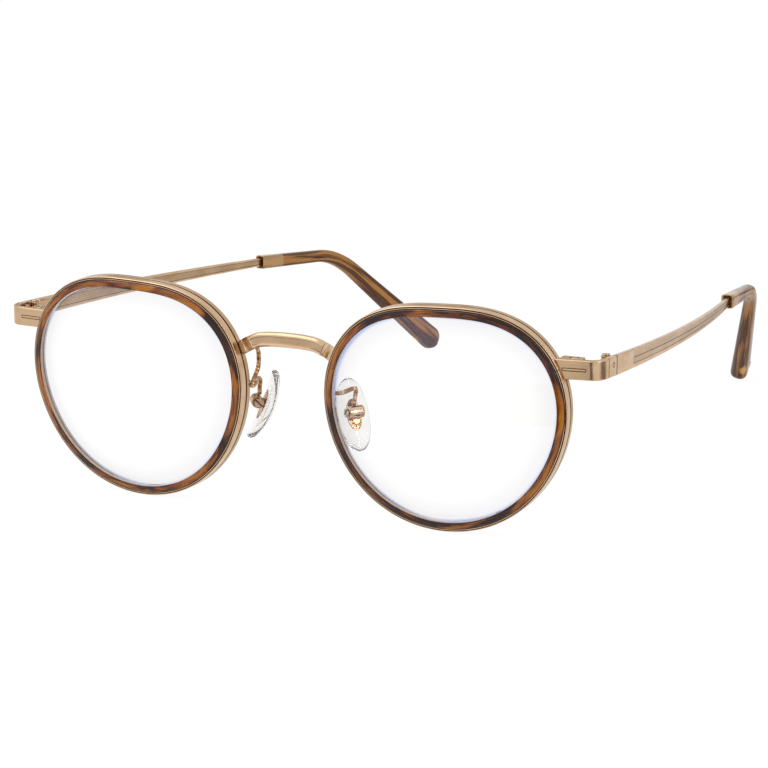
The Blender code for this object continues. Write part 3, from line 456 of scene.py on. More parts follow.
def front_place():
    """From the front's frame in millimetres to the model's in metres, found from the left hinge's joint."""
    joint = next(j for j in frame["joints"] if j["name"] == "temple_left_fold")
    axis = Vector(joint["axis"])
    turn = Matrix.Rotation(TEMPLE_SLOPE - math.atan2(axis.y, axis.z), 4, "X")
    origin = Vector(joint["pos_m"]) - turn @ (hinge_centre() * MM)
    return Matrix.Translation(origin) @ turn @ Matrix.Scale(MM, 4)


def blend(start, end, share):
    return start + (end - start) * min(max(share, 0.0), 1.0)


def tip_heading(share):
    """Which way the tip runs, from its straight (0) round its bend to its leg (1)."""
    down = blend(TIP_DROOP, TIP_BEND, share)
    inward = blend(TIP_TOE_IN, TIP_LEG_TOE_IN, share)
    back = math.cos(inward)
    return Vector((-math.sin(inward), back * math.cos(down), -back * math.sin(down)))


def temple_point(distance):
    """The temple's middle line, in the hinge's frame: the bowed bar, then the tip's straight, bend, leg."""
    share = min(distance, TEMPLE_LENGTH) / TEMPLE_LENGTH
    bow = TEMPLE_BOW * 4 * share * (1 - share)
    x = HINGE_INSET - END_THICKNESS / 2 - TEMPLE_SWEEP * share + bow
    point = Vector((x, min(distance, TEMPLE_LENGTH), 0.0))
    left = distance - TEMPLE_LENGTH
    if left > 0:
        point += tip_heading(0.0) * min(left, TIP_STRAIGHT)
    bent = min(left - TIP_STRAIGHT, TIP_BEND_LENGTH)
    if bent > 0:
        steps = 12
        for i in range(steps):
            point += tip_heading(bent * (i + 0.5) / steps / TIP_BEND_LENGTH) * bent / steps
    leg = left - TIP_STRAIGHT - TIP_BEND_LENGTH
    if leg > 0:
        point += tip_heading(1.0) * leg
    return point


def temple_station(distance):
    """(middle, outwards, up) of the temple at a distance along it."""
    reach = 0.6
    along = (temple_point(distance + reach) - temple_point(distance - reach)).normalized()
    out = Vector((1, 0, 0))
    out = (out - along * out.dot(along)).normalized()
    return temple_point(distance), out, out.cross(along)


# How shapes are made


def eased(corners, steps=3):
    """Points (a, b, finish) of a closed outline with its corners (a, b, radius, finish) rounded off.

    A corner's finish is that of the side that follows it.
    """
    points = []
    for i, (a, b, radius, finish) in enumerate(corners):
        here = Vector((a, b))
        before = Vector(corners[i - 1][:2]) - here
        after = Vector(corners[(i + 1) % len(corners)][:2]) - here
        # a rounding takes less than half of each of its sides
        reach = min(radius, before.length * 0.48, after.length * 0.48)
        if not reach:
            points += [(a, b, finish)] * (1 if not radius else steps + 1)
            continue
        start, end = here + before.normalized() * reach, here + after.normalized() * reach
        for step in range(steps + 1):
            t = step / steps
            spot = start * (1 - t) ** 2 + here * (2 * t * (1 - t)) + end * t**2
            points.append((spot.x, spot.y, finish))
    return points


def bar_corners(width, height, radius):
    """The corners (a, b, radius, finish) of a rectangle about its middle."""
    return [(a * width / 2, b * height / 2, radius, SATIN) for a, b in CORNERS]


def smooth_route(points, count):
    """Points along a smooth curve through the given ones."""
    ends = [points[0] * 2 - points[1], *points, points[-1] * 2 - points[-2]]
    route = []
    for i in range(count):
        place = i / (count - 1) * (len(points) - 1)
        leg = min(int(place), len(points) - 2)
        t = place - leg
        a, b, c, d = ends[leg : leg + 4]
        square = (2 * a - 5 * b + 4 * c - d) * t**2
        cube = (3 * b - a - 3 * c + d) * t**3
        route.append((2 * b + (c - a) * t + square + cube) / 2)
    return route


def skin(rings, closed=False, poles=(None, None), finishes=None, grains=None):
    """A closed surface over rings of equally many points, with a face or a fan over each open end.

    finishes gives the material slot of the faces that follow each point of a ring. grains gives each point's
    place in the straightened piece, in millimetres, for the materials' patterns.
    """
    shape = bmesh.new()
    grain = shape.verts.layers.float_vector.new("grain")
    verts = []
    for k, ring in enumerate(rings):
        verts.append([shape.verts.new(point) for point in ring])
        for i, vert in enumerate(verts[-1]):
            vert[grain] = grains[k][i] if grains else vert.co
    count = len(rings[0])
    following = verts[1:] + verts[:1] if closed else verts[1:]
    for k, (here, there) in enumerate(zip(verts, following)):
        for i in range(count):
            j = (i + 1) % count
            face = shape.faces.new((here[i], here[j], there[j], there[i]))
            face.smooth = True
            if finishes:
                face.material_index = finishes[k][i] if isinstance(finishes[0], list) else finishes[i]
    if closed:
        return shape
    for ring, pole in ((verts[0], poles[0]), (verts[-1], poles[1])):
        if pole is None:
            shape.faces.new(ring)
            continue
        tip = shape.verts.new(pole)
        middle = Vector((0, 0, 0))
        for vert in ring:
            middle += vert[grain] / count
        tip[grain] = middle
        for i in range(count):
            shape.faces.new((ring[i], ring[(i + 1) % count], tip)).smooth = True
    return shape


def full_turn(steps):
    """Equal steps of angle round a full turn."""
    return [2 * math.pi * i / steps for i in range(steps)]


def turned(profile, centre, axis, closed=False):
    """A profile of (radius, height) turned about an axis, as on a lathe. A closed profile makes a ring."""
    axis = Vector(axis).normalized()
    first = axis.orthogonal().normalized()
    second = axis.cross(first)
    rings = []
    for radius, height in profile:
        middle = Vector(centre) + axis * height
        rings.append([
            middle + (first * math.cos(t) + second * math.sin(t)) * radius for t in full_turn(ROUND_STEPS)
        ])
    return skin(rings, closed)


def round_profile(radius, low, high, edge):
    """(radius, height) of a disc or barrel with both its edges rounded."""
    arc = [math.pi / 2 * i / 4 for i in range(5)]
    lower = [(radius - edge + edge * math.sin(t), low + edge - edge * math.cos(t)) for t in arc]
    upper = [(radius - edge + edge * math.cos(t), high - edge + edge * math.sin(t)) for t in arc]
    return lower + upper


def block(low, high):
    """A box between two corners."""
    (x0, y0, z0), (x1, y1, z1) = low, high
    plan = [(x0, y0), (x1, y0), (x1, y1), (x0, y1)]
    return skin([[Vector((x, y, z)) for x, y in plan] for z in (z0, z1)])


def add_mesh(name, shape, materials, place, side, pattern_step=PATTERN_STEP):
    """A mesh object from a shape drawn for the left side, mirrored for the right one.

    pattern_step moves the right side's patterns on, so that they aren't the left side's mirror image.
    """
    grain = shape.verts.layers.float_vector["grain"]
    mirror = Matrix.Diagonal((side, 1, 1, 1))
    shape.transform(front_place() @ mirror @ place)
    if side == RIGHT:
        for vert in shape.verts:
            vert[grain] = vert[grain] + Vector(pattern_step)
    bmesh.ops.recalc_face_normals(shape, faces=shape.faces[:])
    mesh = bpy.data.meshes.new(name)
    shape.to_mesh(mesh)
    shape.free()
    for material in materials:
        mesh.materials.append(material)
    piece = bpy.data.objects.new(name, mesh)
    bpy.context.scene.collection.objects.link(piece)
    return piece


def work(piece, kind, **settings):
    """Works on the piece's mesh with one of Blender's modifiers."""
    modifier = piece.modifiers.new(kind.lower(), kind)
    for name, value in settings.items():
        setattr(modifier, name, value)
    graph = bpy.context.evaluated_depsgraph_get()
    mesh = bpy.data.meshes.new_from_object(piece.evaluated_get(graph))
    piece.modifiers.clear()
    piece.data = mesh


def shade(piece):
    """Shades the piece smoothly, and keeps its sharp edges crisp."""
    piece.data.shade_smooth()
    piece.data.set_sharp_from_angle(angle=SHARP_ANGLE)


def combine(piece, other, operation):
    work(piece, "BOOLEAN", operation=operation, solver="EXACT", object=other)
    shade(piece)
    bpy.data.objects.remove(other, do_unlink=True)


def join(piece, other):
    """Makes another mesh one with the piece."""
    combine(piece, other, "UNION")


def cut(piece, cutter, finish=SATIN):
    """Cuts a mesh out of the piece. The cut's faces get this one of the piece's finishes."""
    for polygon in cutter.data.polygons:
        polygon.material_index = finish
    combine(piece, cutter, "DIFFERENCE")


def break_edges(piece):
    """Rounds the piece's sharp edges a little, as filing does."""
    width = bpy.context.scene.eyeglass_metal.edge
    work(piece, "BEVEL", width=width, segments=3, limit_method="ANGLE", angle_limit=SHARP_ANGLE)
    shade(piece)


def hand_over(piece, body, slot, *nodes):
    """Makes a finished piece part of the model: it moves with a body and stands for these solids.

    Its large faces are shaded flat, so that the light turns on the rounded edges between them.
    """
    shade(piece)
    work(piece, "WEIGHTED_NORMAL", mode="FACE_AREA", keep_sharp=True)
    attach(piece, body)
    if nodes:
        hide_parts(*nodes)


# Materials


def opaque(colour):
    return (*colour, 1.0)


def add_node(tree, kind, inputs=None, stops=None, **settings):
    """A node with its settings, its inputs and its ramp's stops.

    An input is a value, or the socket that feeds it, or a node whose first socket feeds it.
    """
    node = tree.nodes.new(kind)
    for name, value in settings.items():
        setattr(node, name, value)
    for name, value in (inputs or {}).items():
        if isinstance(value, bpy.types.Node):
            value = value.outputs[0]
        if isinstance(value, bpy.types.NodeSocket):
            tree.links.new(value, node.inputs[name])
        else:
            node.inputs[name].default_value = value
    if stops:
        elements = node.color_ramp.elements
        while len(elements) < len(stops):
            elements.new(0.5)
        for element, (place, colour) in zip(elements, stops):
            element.position = place
            element.color = opaque(colour)
    return node


def blank_material(name):
    """A new material, and its empty node tree."""
    made = bpy.data.materials.new(name)
    made.use_nodes = True
    made.node_tree.nodes.clear()
    return made, made.node_tree


def shared(maker):
    """The material that a maker draws, named for the maker and made once.

    The maker gets the node tree and the socket of a point's place in the straightened piece, in millimetres,
    and returns its shader.
    """
    made = bpy.data.materials.get(maker.__name__)
    if made is None:
        made, tree = blank_material(maker.__name__)
        grain = add_node(tree, "ShaderNodeAttribute", attribute_name="grain")
        add_node(tree, "ShaderNodeOutputMaterial", {"Surface": maker(tree, grain.outputs["Vector"])})
    return made


def mottling(tree, grain, sizes, detail=2.0, distortion=0.0):
    """Spots or streaks of these sizes in millimetres along the grain's three axes."""
    scale = tuple(1 / size for size in sizes)
    place = add_node(tree, "ShaderNodeMapping", {"Vector": grain, "Scale": scale})
    inputs = {"Vector": place, "Scale": 1.0, "Detail": detail, "Distortion": distortion}
    return add_node(tree, "ShaderNodeTexNoise", inputs)


def plating(tree, grain, lines, colour, roughness, spread, height, bright=None):
    """Metal whose dullness and relief follow a pattern of lines. The relief's height is in millimetres.

    Its colour varies softly at random, or follows the lines from a dark painted reflection up to a bright
    painted highlight.
    """
    if bright is None:
        darker = tuple(value * share for value, share in zip(colour, (0.9, 0.87, 0.83)))
        lighter = tuple(min(1.0, value * 1.06) for value in colour)
        tone, stops = mottling(tree, grain, (4.0, 2.0, 2.0)), [(0.35, darker), (0.65, lighter)]
    else:
        tone, stops = lines, [(0.42, colour), (0.66, bright)]
    low, high = PATTERN_RANGE
    dullness = {
        "Value": lines, "From Min": low, "From Max": high,
        "To Min": roughness - spread, "To Max": roughness + spread,
    }
    relief = {"Height": lines, "Distance": height * MM, "Strength": 1.0}
    inputs = {
        "Base Color": add_node(tree, "ShaderNodeValToRGB", {"Fac": tone}, stops),
        "Metallic": 1.0,
        "Roughness": add_node(tree, "ShaderNodeMapRange", dullness),
        "Normal": add_node(tree, "ShaderNodeBump", relief),
    }
    return add_node(tree, "ShaderNodeBsdfPrincipled", inputs)


def brushed_rose_gold_plating(tree, grain):
    """Nickel silver brushed across with fine abrasive, then plated: a soft sheen with faint cross lines.

    Real brushing is some hundredths of a millimetre fine. It is drawn coarser than that, so that it shows.
    """
    metal = bpy.context.scene.eyeglass_metal
    lines = mottling(tree, grain, (in_mm(metal.brush_pitch), 2.86, 2.86))
    return plating(tree, grain, lines, metal.gold, roughness=metal.satin, spread=0.04, height=0.002)


def polished_rose_gold_plating(tree, grain):
    """The same plating over buffed metal: clear reflections, a little uneven from the buffing wheel."""
    metal = bpy.context.scene.eyeglass_metal
    lines = mottling(tree, grain, (1.25, 0.625, 0.625))
    return plating(tree, grain, lines, metal.polished, roughness=metal.polish, spread=0.03, height=0.0015)


def milled_rose_gold_plating(tree, grain):
    """The same plating over a band rolled with slanting lines: a fine rope-like glitter along the eyewire."""
    metal = bpy.context.scene.eyeglass_metal
    place = add_node(tree, "ShaderNodeMapping", {"Vector": grain, "Rotation": (0, math.radians(40), 0)})
    # one wave of the texture is 0.314 long at a scale of 1
    inputs = {"Vector": place, "Scale": 0.314 / in_mm(metal.mill_pitch), "Distortion": 0.6}
    lines = add_node(tree, "ShaderNodeTexWave", inputs, bands_direction="X").outputs["Fac"]
    darker = tuple(value * 0.82 for value in metal.gold)
    return plating(tree, grain, lines, darker, roughness=metal.satin, spread=0.04, height=0.004)


def groove_plating_painted_shade(tree, grain):
    """Plating at the bottom of a narrow groove, dull and painted dark brown: painted shade, standing in for
    the shadow down in the groove.
    """
    lines = mottling(tree, grain, (2 / 3, 1 / 3, 1 / 3))
    groove_shade = bpy.context.scene.eyeglass_metal.groove_shade
    return plating(tree, grain, lines, groove_shade, roughness=0.45, spread=0.08, height=0.01)


def buffed_plating_painted_reflections(tree, grain):
    """The same plating over small parts buffed by hand: uneven, with bands across them of painted dark
    reflection in brown and of painted highlight in bright gold.
    """
    metal = bpy.context.scene.eyeglass_metal
    lines = mottling(tree, grain, (0.7143, 2.86, 2.86))
    return plating(tree, grain, lines, metal.facet_dark_reflection, 0.14, spread=0.05, height=0.01, bright=metal.polished)


def turned_steel(tree, grain):
    """Stainless steel screws, turned on a lathe: grey, with faint turning marks."""
    lines = mottling(tree, grain, (1 / 3, 1 / 3, 1 / 3))
    steel = bpy.context.scene.eyeglass_metal.steel
    return plating(tree, grain, lines, steel, roughness=0.22, spread=0.06, height=0.004)


def tumbled_tortoise_acetate(tree, grain):
    """Cellulose acetate sheet, cut and tumbled to a polish: brown blotches and amber streaks under a gloss,
    with a painted pale reflection on the ring's inner wall.

    The grain runs round the ring, its first two axes being the ring's circle and its third the way round
    the ring's section, from the middle of its front.
    """
    acetate = bpy.context.scene.eyeglass_acetate
    length, width = in_mm(acetate.blotch_length), in_mm(acetate.streak_width)
    blotches = mottling(tree, grain, (length, length, 3.33), distortion=0.6)
    streaks = mottling(tree, grain, (length / 2, length / 2, width), 4.0, 1.2)
    # the streaks, less a darker line along each edge of the ring's front
    way_round = add_node(tree, "ShaderNodeSeparateXYZ", {"Vector": grain}).outputs["Z"]
    off_middle = add_node(tree, "ShaderNodeMath", {0: way_round}, operation="ABSOLUTE")
    inputs = {"Value": off_middle, "From Min": 0.3, "From Max": 0.68, "To Min": -0.59, "To Max": -0.72}
    edges = add_node(tree, "ShaderNodeMapRange", inputs)
    weights = add_node(tree, "ShaderNodeMath", {0: streaks, 1: 0.8, 2: edges}, operation="MULTIPLY_ADD")
    pattern = add_node(tree, "ShaderNodeMath", {0: blotches, 1: 1.45, 2: weights}, operation="MULTIPLY_ADD")
    stops = [(0.4, acetate.black), (0.48, acetate.brown), (0.57, acetate.amber), (0.76, acetate.honey)]
    tortoise = add_node(tree, "ShaderNodeValToRGB", {"Fac": pattern}, stops)
    flecks = mottling(tree, grain, (length / 3, length / 3, width * 2))
    inputs = {"Value": flecks, "From Min": 0.6, "From Max": 0.7, "To Min": 0.0, "To Max": 0.75}
    inputs = {0: add_node(tree, "ShaderNodeMapRange", inputs), 6: tortoise, 7: opaque(acetate.red)}
    flecked = add_node(tree, "ShaderNodeMix", inputs, data_type="RGBA").outputs[2]
    # the inner wall starts about 0.8 mm round from the middle of the front; its pale colour is a painted
    # reflection of the white surroundings at a grazing angle
    inputs = {"Value": way_round, "From Min": -0.85, "From Max": -0.75, "To Min": 0.85, "To Max": 0.0}
    inputs = {0: add_node(tree, "ShaderNodeMapRange", inputs), 6: flecked, 7: opaque(acetate.wall)}
    colour = add_node(tree, "ShaderNodeMix", inputs, data_type="RGBA").outputs[2]
    low, high = PATTERN_RANGE
    dullness = {"Value": blotches, "From Min": low, "From Max": high, "To Min": 0.06, "To Max": 0.12}
    relief = {"Height": streaks, "Distance": 0.01 * MM, "Strength": 1.0}
    inputs = {
        "Base Color": colour,
        "Roughness": add_node(tree, "ShaderNodeMapRange", dullness),
        "IOR": ACETATE_IOR,
        "Specular IOR Level": 0.4,
        "Subsurface Weight": 0.25,
        "Subsurface Radius": (1.0, 0.4, 0.15),
        "Subsurface Scale": 0.6 * MM,
        "Normal": add_node(tree, "ShaderNodeBump", relief),
    }
    return add_node(tree, "ShaderNodeBsdfPrincipled", inputs)


def laminated_grey_acetate(tree, grain):
    """Streaked brown acetate laminated between greyer sheets, bent warm and polished; paler at its mouth,
    where the bar inside is painted as seen through it, and with a painted golden highlight near its end.

    The grain's axes are the way along the temple in millimetres, and the shares of the tip's half thickness
    and half height.
    """
    acetate = bpy.context.scene.eyeglass_acetate
    axes = add_node(tree, "ShaderNodeSeparateXYZ", {"Vector": grain}).outputs
    across = add_node(tree, "ShaderNodeMath", {0: axes["Y"]}, operation="ABSOLUTE")
    upward = add_node(tree, "ShaderNodeMath", {0: axes["Z"]}, operation="ABSOLUTE")
    edge = add_node(tree, "ShaderNodeMath", {0: across, 1: upward}, operation="MINIMUM")
    # streaks 20 mm long, and about a fifth of the tip's thickness wide
    streaks = mottling(tree, grain, (20.0, 0.417, 0.417), 3.0, 0.4)
    blotches = mottling(tree, grain, (11.11, 1.667, 1.667), 1.0)
    inputs = {"Value": edge, "From Min": 0.5, "From Max": 1.0, "To Min": 0.0, "To Max": 0.45}
    edge = add_node(tree, "ShaderNodeMapRange", inputs)
    wavy = add_node(tree, "ShaderNodeMath", {0: streaks, 1: 1.7, 2: edge}, operation="MULTIPLY_ADD")
    layer = add_node(tree, "ShaderNodeMath", {0: blotches, 1: 0.7, 2: wavy}, operation="MULTIPLY_ADD")
    inputs = {"Value": layer, "From Min": 0.7, "From Max": 1.9, "To Min": 0.0, "To Max": 1.0}
    layer = add_node(tree, "ShaderNodeMapRange", inputs)
    between = tuple((a + b) / 2 for a, b in zip(acetate.tip_amber, acetate.tip_brown))
    stops = [(0.31, acetate.tip_amber), (0.45, between), (0.57, acetate.tip_brown), (0.88, acetate.tip_grey)]
    streaked = add_node(tree, "ShaderNodeValToRGB", {"Fac": layer}, stops)
    # up to this far along the temple, half of the tip's colour is that of its mouth: the pale gold of the bar
    # inside, painted as seen through the clear acetate
    end = TEMPLE_LENGTH + 6.6
    inputs = {"Value": axes["X"], "From Min": end, "From Max": end + 0.6, "To Min": 0.5, "To Max": 1.0}
    inputs = {0: add_node(tree, "ShaderNodeMapRange", inputs), 6: opaque(acetate.tip_clear), 7: streaked}
    plain = add_node(tree, "ShaderNodeMix", inputs, data_type="RGBA").outputs[2]
    # a painted golden highlight: a spot of this size and place in the grain, near the tip's end
    reach = (1.9, 0.42, 0.5)
    spot = (TEMPLE_LENGTH + TIP_LENGTH - 3.2, 0.5, -0.88)
    inputs = {
        "Vector": grain,
        "Location": tuple(-place / size for place, size in zip(spot, reach)),
        "Scale": tuple(1 / size for size in reach),
    }
    off_glint = add_node(tree, "ShaderNodeMapping", inputs)
    off_glint = add_node(tree, "ShaderNodeVectorMath", {0: off_glint}, operation="LENGTH").outputs["Value"]
    uneven = add_node(tree, "ShaderNodeMath", {0: streaks, 1: 1.2, 2: off_glint}, operation="MULTIPLY_ADD")
    inputs = {"Value": uneven, "From Min": 1.2, "From Max": 1.75, "To Min": 0.95, "To Max": 0.0}
    inputs = {0: add_node(tree, "ShaderNodeMapRange", inputs), 6: plain, 7: opaque(acetate.tip_painted_glint)}
    colour = add_node(tree, "ShaderNodeMix", inputs, data_type="RGBA").outputs[2]
    low, high = PATTERN_RANGE
    dullness = {"Value": streaks, "From Min": low, "From Max": high, "To Min": 0.05, "To Max": 0.1}
    inputs = {
        "Base Color": colour,
        "Roughness": add_node(tree, "ShaderNodeMapRange", dullness),
        "IOR": ACETATE_IOR,
        "Specular IOR Level": 0.12,
    }
    return add_node(tree, "ShaderNodeBsdfPrincipled", inputs)


def clear_moulding(tree, colour, roughness, ior, tint, clearness):
    """A clear moulding that lets the lamps' light through, as thin clear plastic does."""
    inputs = {
        "Base Color": colour,
        "Roughness": roughness,
        "IOR": ior,
        "Transmission Weight": clearness,
        "Specular IOR Level": 0.3,
        "Specular Tint": opaque(tint),
    }
    clear = add_node(tree, "ShaderNodeBsdfPrincipled", inputs)
    light = add_node(tree, "ShaderNodeLightPath").outputs
    through = add_node(tree, "ShaderNodeBsdfTransparent", {"Color": opaque(linear("#F7F7F7"))})
    rays = {0: light["Is Shadow Ray"], 1: light["Is Diffuse Ray"]}
    lit = add_node(tree, "ShaderNodeMath", rays, operation="MAXIMUM")
    return add_node(tree, "ShaderNodeMixShader", {0: lit, 1: clear, 2: through})


def coated_demo_lens(tree, grain):
    """Clear resin lens with a blue-violet anti-glare coat: nearly nothing, greyed towards its edge by painted
    shade, with a painted blue reflection of the coat at its very edge.

    The grain's third axis is the share of the way out to the lens's edge.
    """
    clear = bpy.context.scene.eyeglass_clear
    way_out = add_node(tree, "ShaderNodeSeparateXYZ", {"Vector": grain}).outputs["Z"]
    # clouds 20 mm wide across the lens
    cloud = mottling(tree, grain, (20.0, 20.0, math.inf), 1.0)
    share = add_node(tree, "ShaderNodeMath", {0: way_out, 1: 0.9}, operation="MULTIPLY")
    share = add_node(tree, "ShaderNodeMath", {0: cloud, 1: 0.05, 2: share}, operation="MULTIPLY_ADD")
    # painted shade greys the lens towards its edge, and a painted blue reflection lines its very edge
    stops = [(0.72, clear.lens), (0.9, clear.lens_edge_painted_shade), (0.905, clear.lens_edge_painted_shade), (0.925, clear.rim_painted_reflection)]
    colour = add_node(tree, "ShaderNodeValToRGB", {"Fac": share}, stops)
    return clear_moulding(tree, colour, roughness=0.0, ior=1.5, tint=clear.coat, clearness=1.0)


def moulded_clear_pvc(tree, grain):
    """Soft clear PVC, moulded: clear with a slight milkiness, softer in its reflections than glass.

    Its IOR is set a little below the 1.5 of such plastic, so that the pads bend less of what is behind them.
    """
    clear = bpy.context.scene.eyeglass_clear
    cloud = mottling(tree, grain, (2.5, 2.5, 2.5))
    darker = tuple(value * 0.94 for value in clear.pad)
    colour = add_node(tree, "ShaderNodeValToRGB", {"Fac": cloud}, [(0.35, darker), (0.65, clear.pad)])
    return clear_moulding(tree, colour, roughness=0.04, ior=1.43, tint=linear("#FFFFFF"), clearness=0.94)


def gold_finishes():
    """The four finishes of a gold piece, in the order of SATIN, POLISHED, MILLED and the recesses' painted
    shade.
    """
    return [
        shared(brushed_rose_gold_plating),
        shared(polished_rose_gold_plating),
        shared(milled_rose_gold_plating),
        shared(groove_plating_painted_shade),
    ]


# The front


def eyewire_section():
    """(offset, depth, finish) round the eyewire: a bead, a groove, a plain band, a groove, a milled band."""
    metal = bpy.context.scene.eyeglass_metal
    width, depth = in_mm(metal.groove_width), in_mm(metal.groove_depth)
    bead = CHANNEL_WALL + EYEWIRE_BEAD
    edge, floor = RIM_OFFSET, RIM_OFFSET - depth
    lip = CHANNEL_WALL - RIM_LIP_REACH
    outer, band = RIM_BACK - EYEWIRE_BAND - 3 * width, RIM_BACK - EYEWIRE_BAND
    slope, tight, crisp = 0.03, 0.01, 0.04
    # the grooves' faces have the recessed finish: painted shade
    return eased([
        (CHANNEL_WALL, RIM_FRONT, 0, POLISHED),
        (CHANNEL_WALL, RIM_FRONT - 0.02, 0.08, POLISHED),
        (bead, RIM_FRONT - 0.02, 0.06, RECESS_SHADE),
        (bead + slope, RIM_FRONT + depth, tight, RECESS_SHADE),
        (bead + width - slope, RIM_FRONT + depth, tight, RECESS_SHADE),
        (bead + width, RIM_FRONT + 0.02, crisp, POLISHED),
        (edge, RIM_FRONT + 0.06, 0.15, SATIN),
        (edge, outer, crisp, RECESS_SHADE),
        (floor, outer + slope, tight, RECESS_SHADE),
        (floor, band - slope, tight, RECESS_SHADE),
        (edge, band, crisp, MILLED),
        (edge, RIM_BACK, 0.12, SATIN),
        (lip, RIM_BACK, 0.1, SATIN),
        (lip, RIM_BACK - RIM_LIP, 0.05, SATIN),
        (CHANNEL_WALL, RIM_BACK - RIM_LIP, 0, SATIN),
    ])


class EYEGLASSES_OT_eyewires(bpy.types.Operator):
    """Builds the two metal eyewires, each with its grooves and its cut at the closing block"""

    bl_idname = "eyeglasses.eyewires"
    bl_label = "Eyewires"

    def execute(self, context):
        section = eyewire_section()
        finishes = [finish for _, _, finish in section]
        split = rim_angle(END_Z, *TEMPLE_SIDE_ANGLES)
        half_gap = in_mm(context.scene.eyeglass_metal.rim_cut) / 2 / outline_radius(split)[0]
        turn = 2 * math.pi - 2 * half_gap
        for label, side in SIDES.items():
            rings, grains = [], []
            length = 0.0
            for i in range(RING_STEPS + 1):
                angle = split + half_gap + turn * i / RING_STEPS
                rings.append([ring_point(angle, offset, depth) for offset, depth, _ in section])
                if i:
                    length += (rings[-1][1] - rings[-2][1]).length
                grains.append([Vector((length, offset, depth)) for offset, depth, _ in section])
            shape = skin(rings, finishes=finishes, grains=grains)
            piece = add_mesh(f"eyewire_{label}", shape, gold_finishes(), lens_place(), side)
            hand_over(piece, "front", "gold_metal", f"rim_{label}")
        return {"FINISHED"}


def acetate_section():
    """(offset, depth, way) round the acetate ring: how far it is round from the middle of its front."""
    back = RIM_BACK - RIM_LIP - SEAT_GAP
    groove = LENS_BEVEL + SEAT_GAP
    half = LENS_THICKNESS / 2
    corners = eased([
        (INSERT_WIDTH, back, 0.05, 0),
        (0.0, back, 0.15, 0),
        (0.0, LENS_DEPTH + half, 0.05, 0),
        (groove, LENS_DEPTH, 0, 0),
        (0.0, LENS_DEPTH - half, 0.05, 0),
        (0.0, 0.05, 0.22, 0),
        (INSERT_WIDTH / 2, 0.0, 0.3, 0),
        (INSERT_WIDTH, 0.02, INSERT_ROUND, 0),
    ], 6)
    around = [0.0]
    for (a, b, _), (c, d, _) in zip(corners, corners[1:]):
        around.append(around[-1] + math.hypot(c - a, d - b))
    # the middle of the front, where the section's foremost points are
    front = min(range(len(corners)), key=lambda i: abs(corners[i][0] - INSERT_WIDTH / 2) + 9 * corners[i][1])
    return [(offset, depth, way - around[front]) for (offset, depth, _), way in zip(corners, around)]


class EYEGLASSES_OT_acetate_rings(bpy.types.Operator):
    """Builds the two tortoise acetate rings, with the groove that holds each lens"""

    bl_idname = "eyeglasses.acetate_rings"
    bl_label = "Acetate rings"

    def execute(self, context):
        section = acetate_section()
        radius = (LENS_WIDTH + LENS_HEIGHT) / 4
        finishes = [shared(tumbled_tortoise_acetate)]
        for label, side in SIDES.items():
            rings, grains = [], []
            for angle in full_turn(RING_STEPS):
                rings.append([ring_point(angle, offset, depth) for offset, depth, _ in section])
                circle = radius * math.cos(angle), radius * math.sin(angle)
                grains.append([Vector((*circle, way)) for _, _, way in section])
            shape = skin(rings, closed=True, grains=grains)
            piece = add_mesh(f"acetate_ring_{label}", shape, finishes, lens_place(), side)
            hand_over(piece, "front", "tortoise_acetate", f"rim_insert_{label}")
        return {"FINISHED"}


class EYEGLASSES_OT_lenses(bpy.types.Operator):
    """Builds the two demo lenses, each with the ridge on its edge that sits in the acetate's groove"""

    bl_idname = "eyeglasses.lenses"
    bl_label = "Lenses"

    def execute(self, context):
        front, back = LENS_DEPTH - LENS_THICKNESS / 2, LENS_DEPTH + LENS_THICKNESS / 2
        poles = Vector((0, front, 0)), Vector((0, back, 0))
        shares = [math.sin(math.pi / 2 * i / 12) for i in range(1, 13)]
        section = [(share, -SEAT_GAP * share, front) for share in shares]
        section.append((1.0, LENS_BEVEL - SEAT_GAP, LENS_DEPTH))
        section += [(share, -SEAT_GAP * share, back) for share in reversed(shares)]
        for label, side in SIDES.items():
            rings, grains = [], []
            for share, offset, depth in section:
                ring = []
                for angle in full_turn(RING_STEPS // 2):
                    across, up = outline_point(angle, offset)
                    across, up = across * share, up * share
                    ring.append(Vector((across, face_depth(across, up) + depth, up)))
                rings.append(ring)
                grains.append([Vector((point.x, point.z, share)) for point in ring])
            shape = skin(rings, poles=poles, grains=grains)
            piece = add_mesh(f"demo_lens_{label}", shape, [shared(coated_demo_lens)], lens_place(), side)
            hand_over(piece, "front", "clear_lens", f"lens_{label}")
        return {"FINISHED"}


def bridge_section(share, step):
    """(forward, up, finish) round the bridge.

    share is 1 where the panel is sunk and 0 where it is flush. step sinks the whole front.
    """
    half, front = BRIDGE_HEIGHT / 2, BRIDGE_THICKNESS / 2 - step
    back = BRIDGE_THICKNESS / 2
    border = half - BRIDGE_BEVEL - BRIDGE_BORDER
    sunk = front - BRIDGE_PANEL_DEPTH * share
    crisp, edge, soft = 0.04, 0.08, 0.1
    # the sunk panel's upper wall has the recessed finish: painted shade
    return eased([
        (sunk, -border + 0.06, crisp, MILLED),
        (sunk, border - 0.06, crisp, RECESS_SHADE),
        (front, border + 0.04, crisp, POLISHED),
        (front, half - BRIDGE_BEVEL, edge, SATIN),
        (front - BRIDGE_BEVEL, half, soft, SATIN),
        (BRIDGE_BEVEL - back, half, soft, SATIN),
        (-back, half - BRIDGE_BEVEL, soft, SATIN),
        (-back, BRIDGE_BEVEL - half, soft, SATIN),
        (BRIDGE_BEVEL - back, -half, soft, SATIN),
        (front - BRIDGE_BEVEL, -half, soft, POLISHED),
        (front, BRIDGE_BEVEL - half, edge, POLISHED),
        (front, -border - 0.04, crisp, SATIN),
    ])


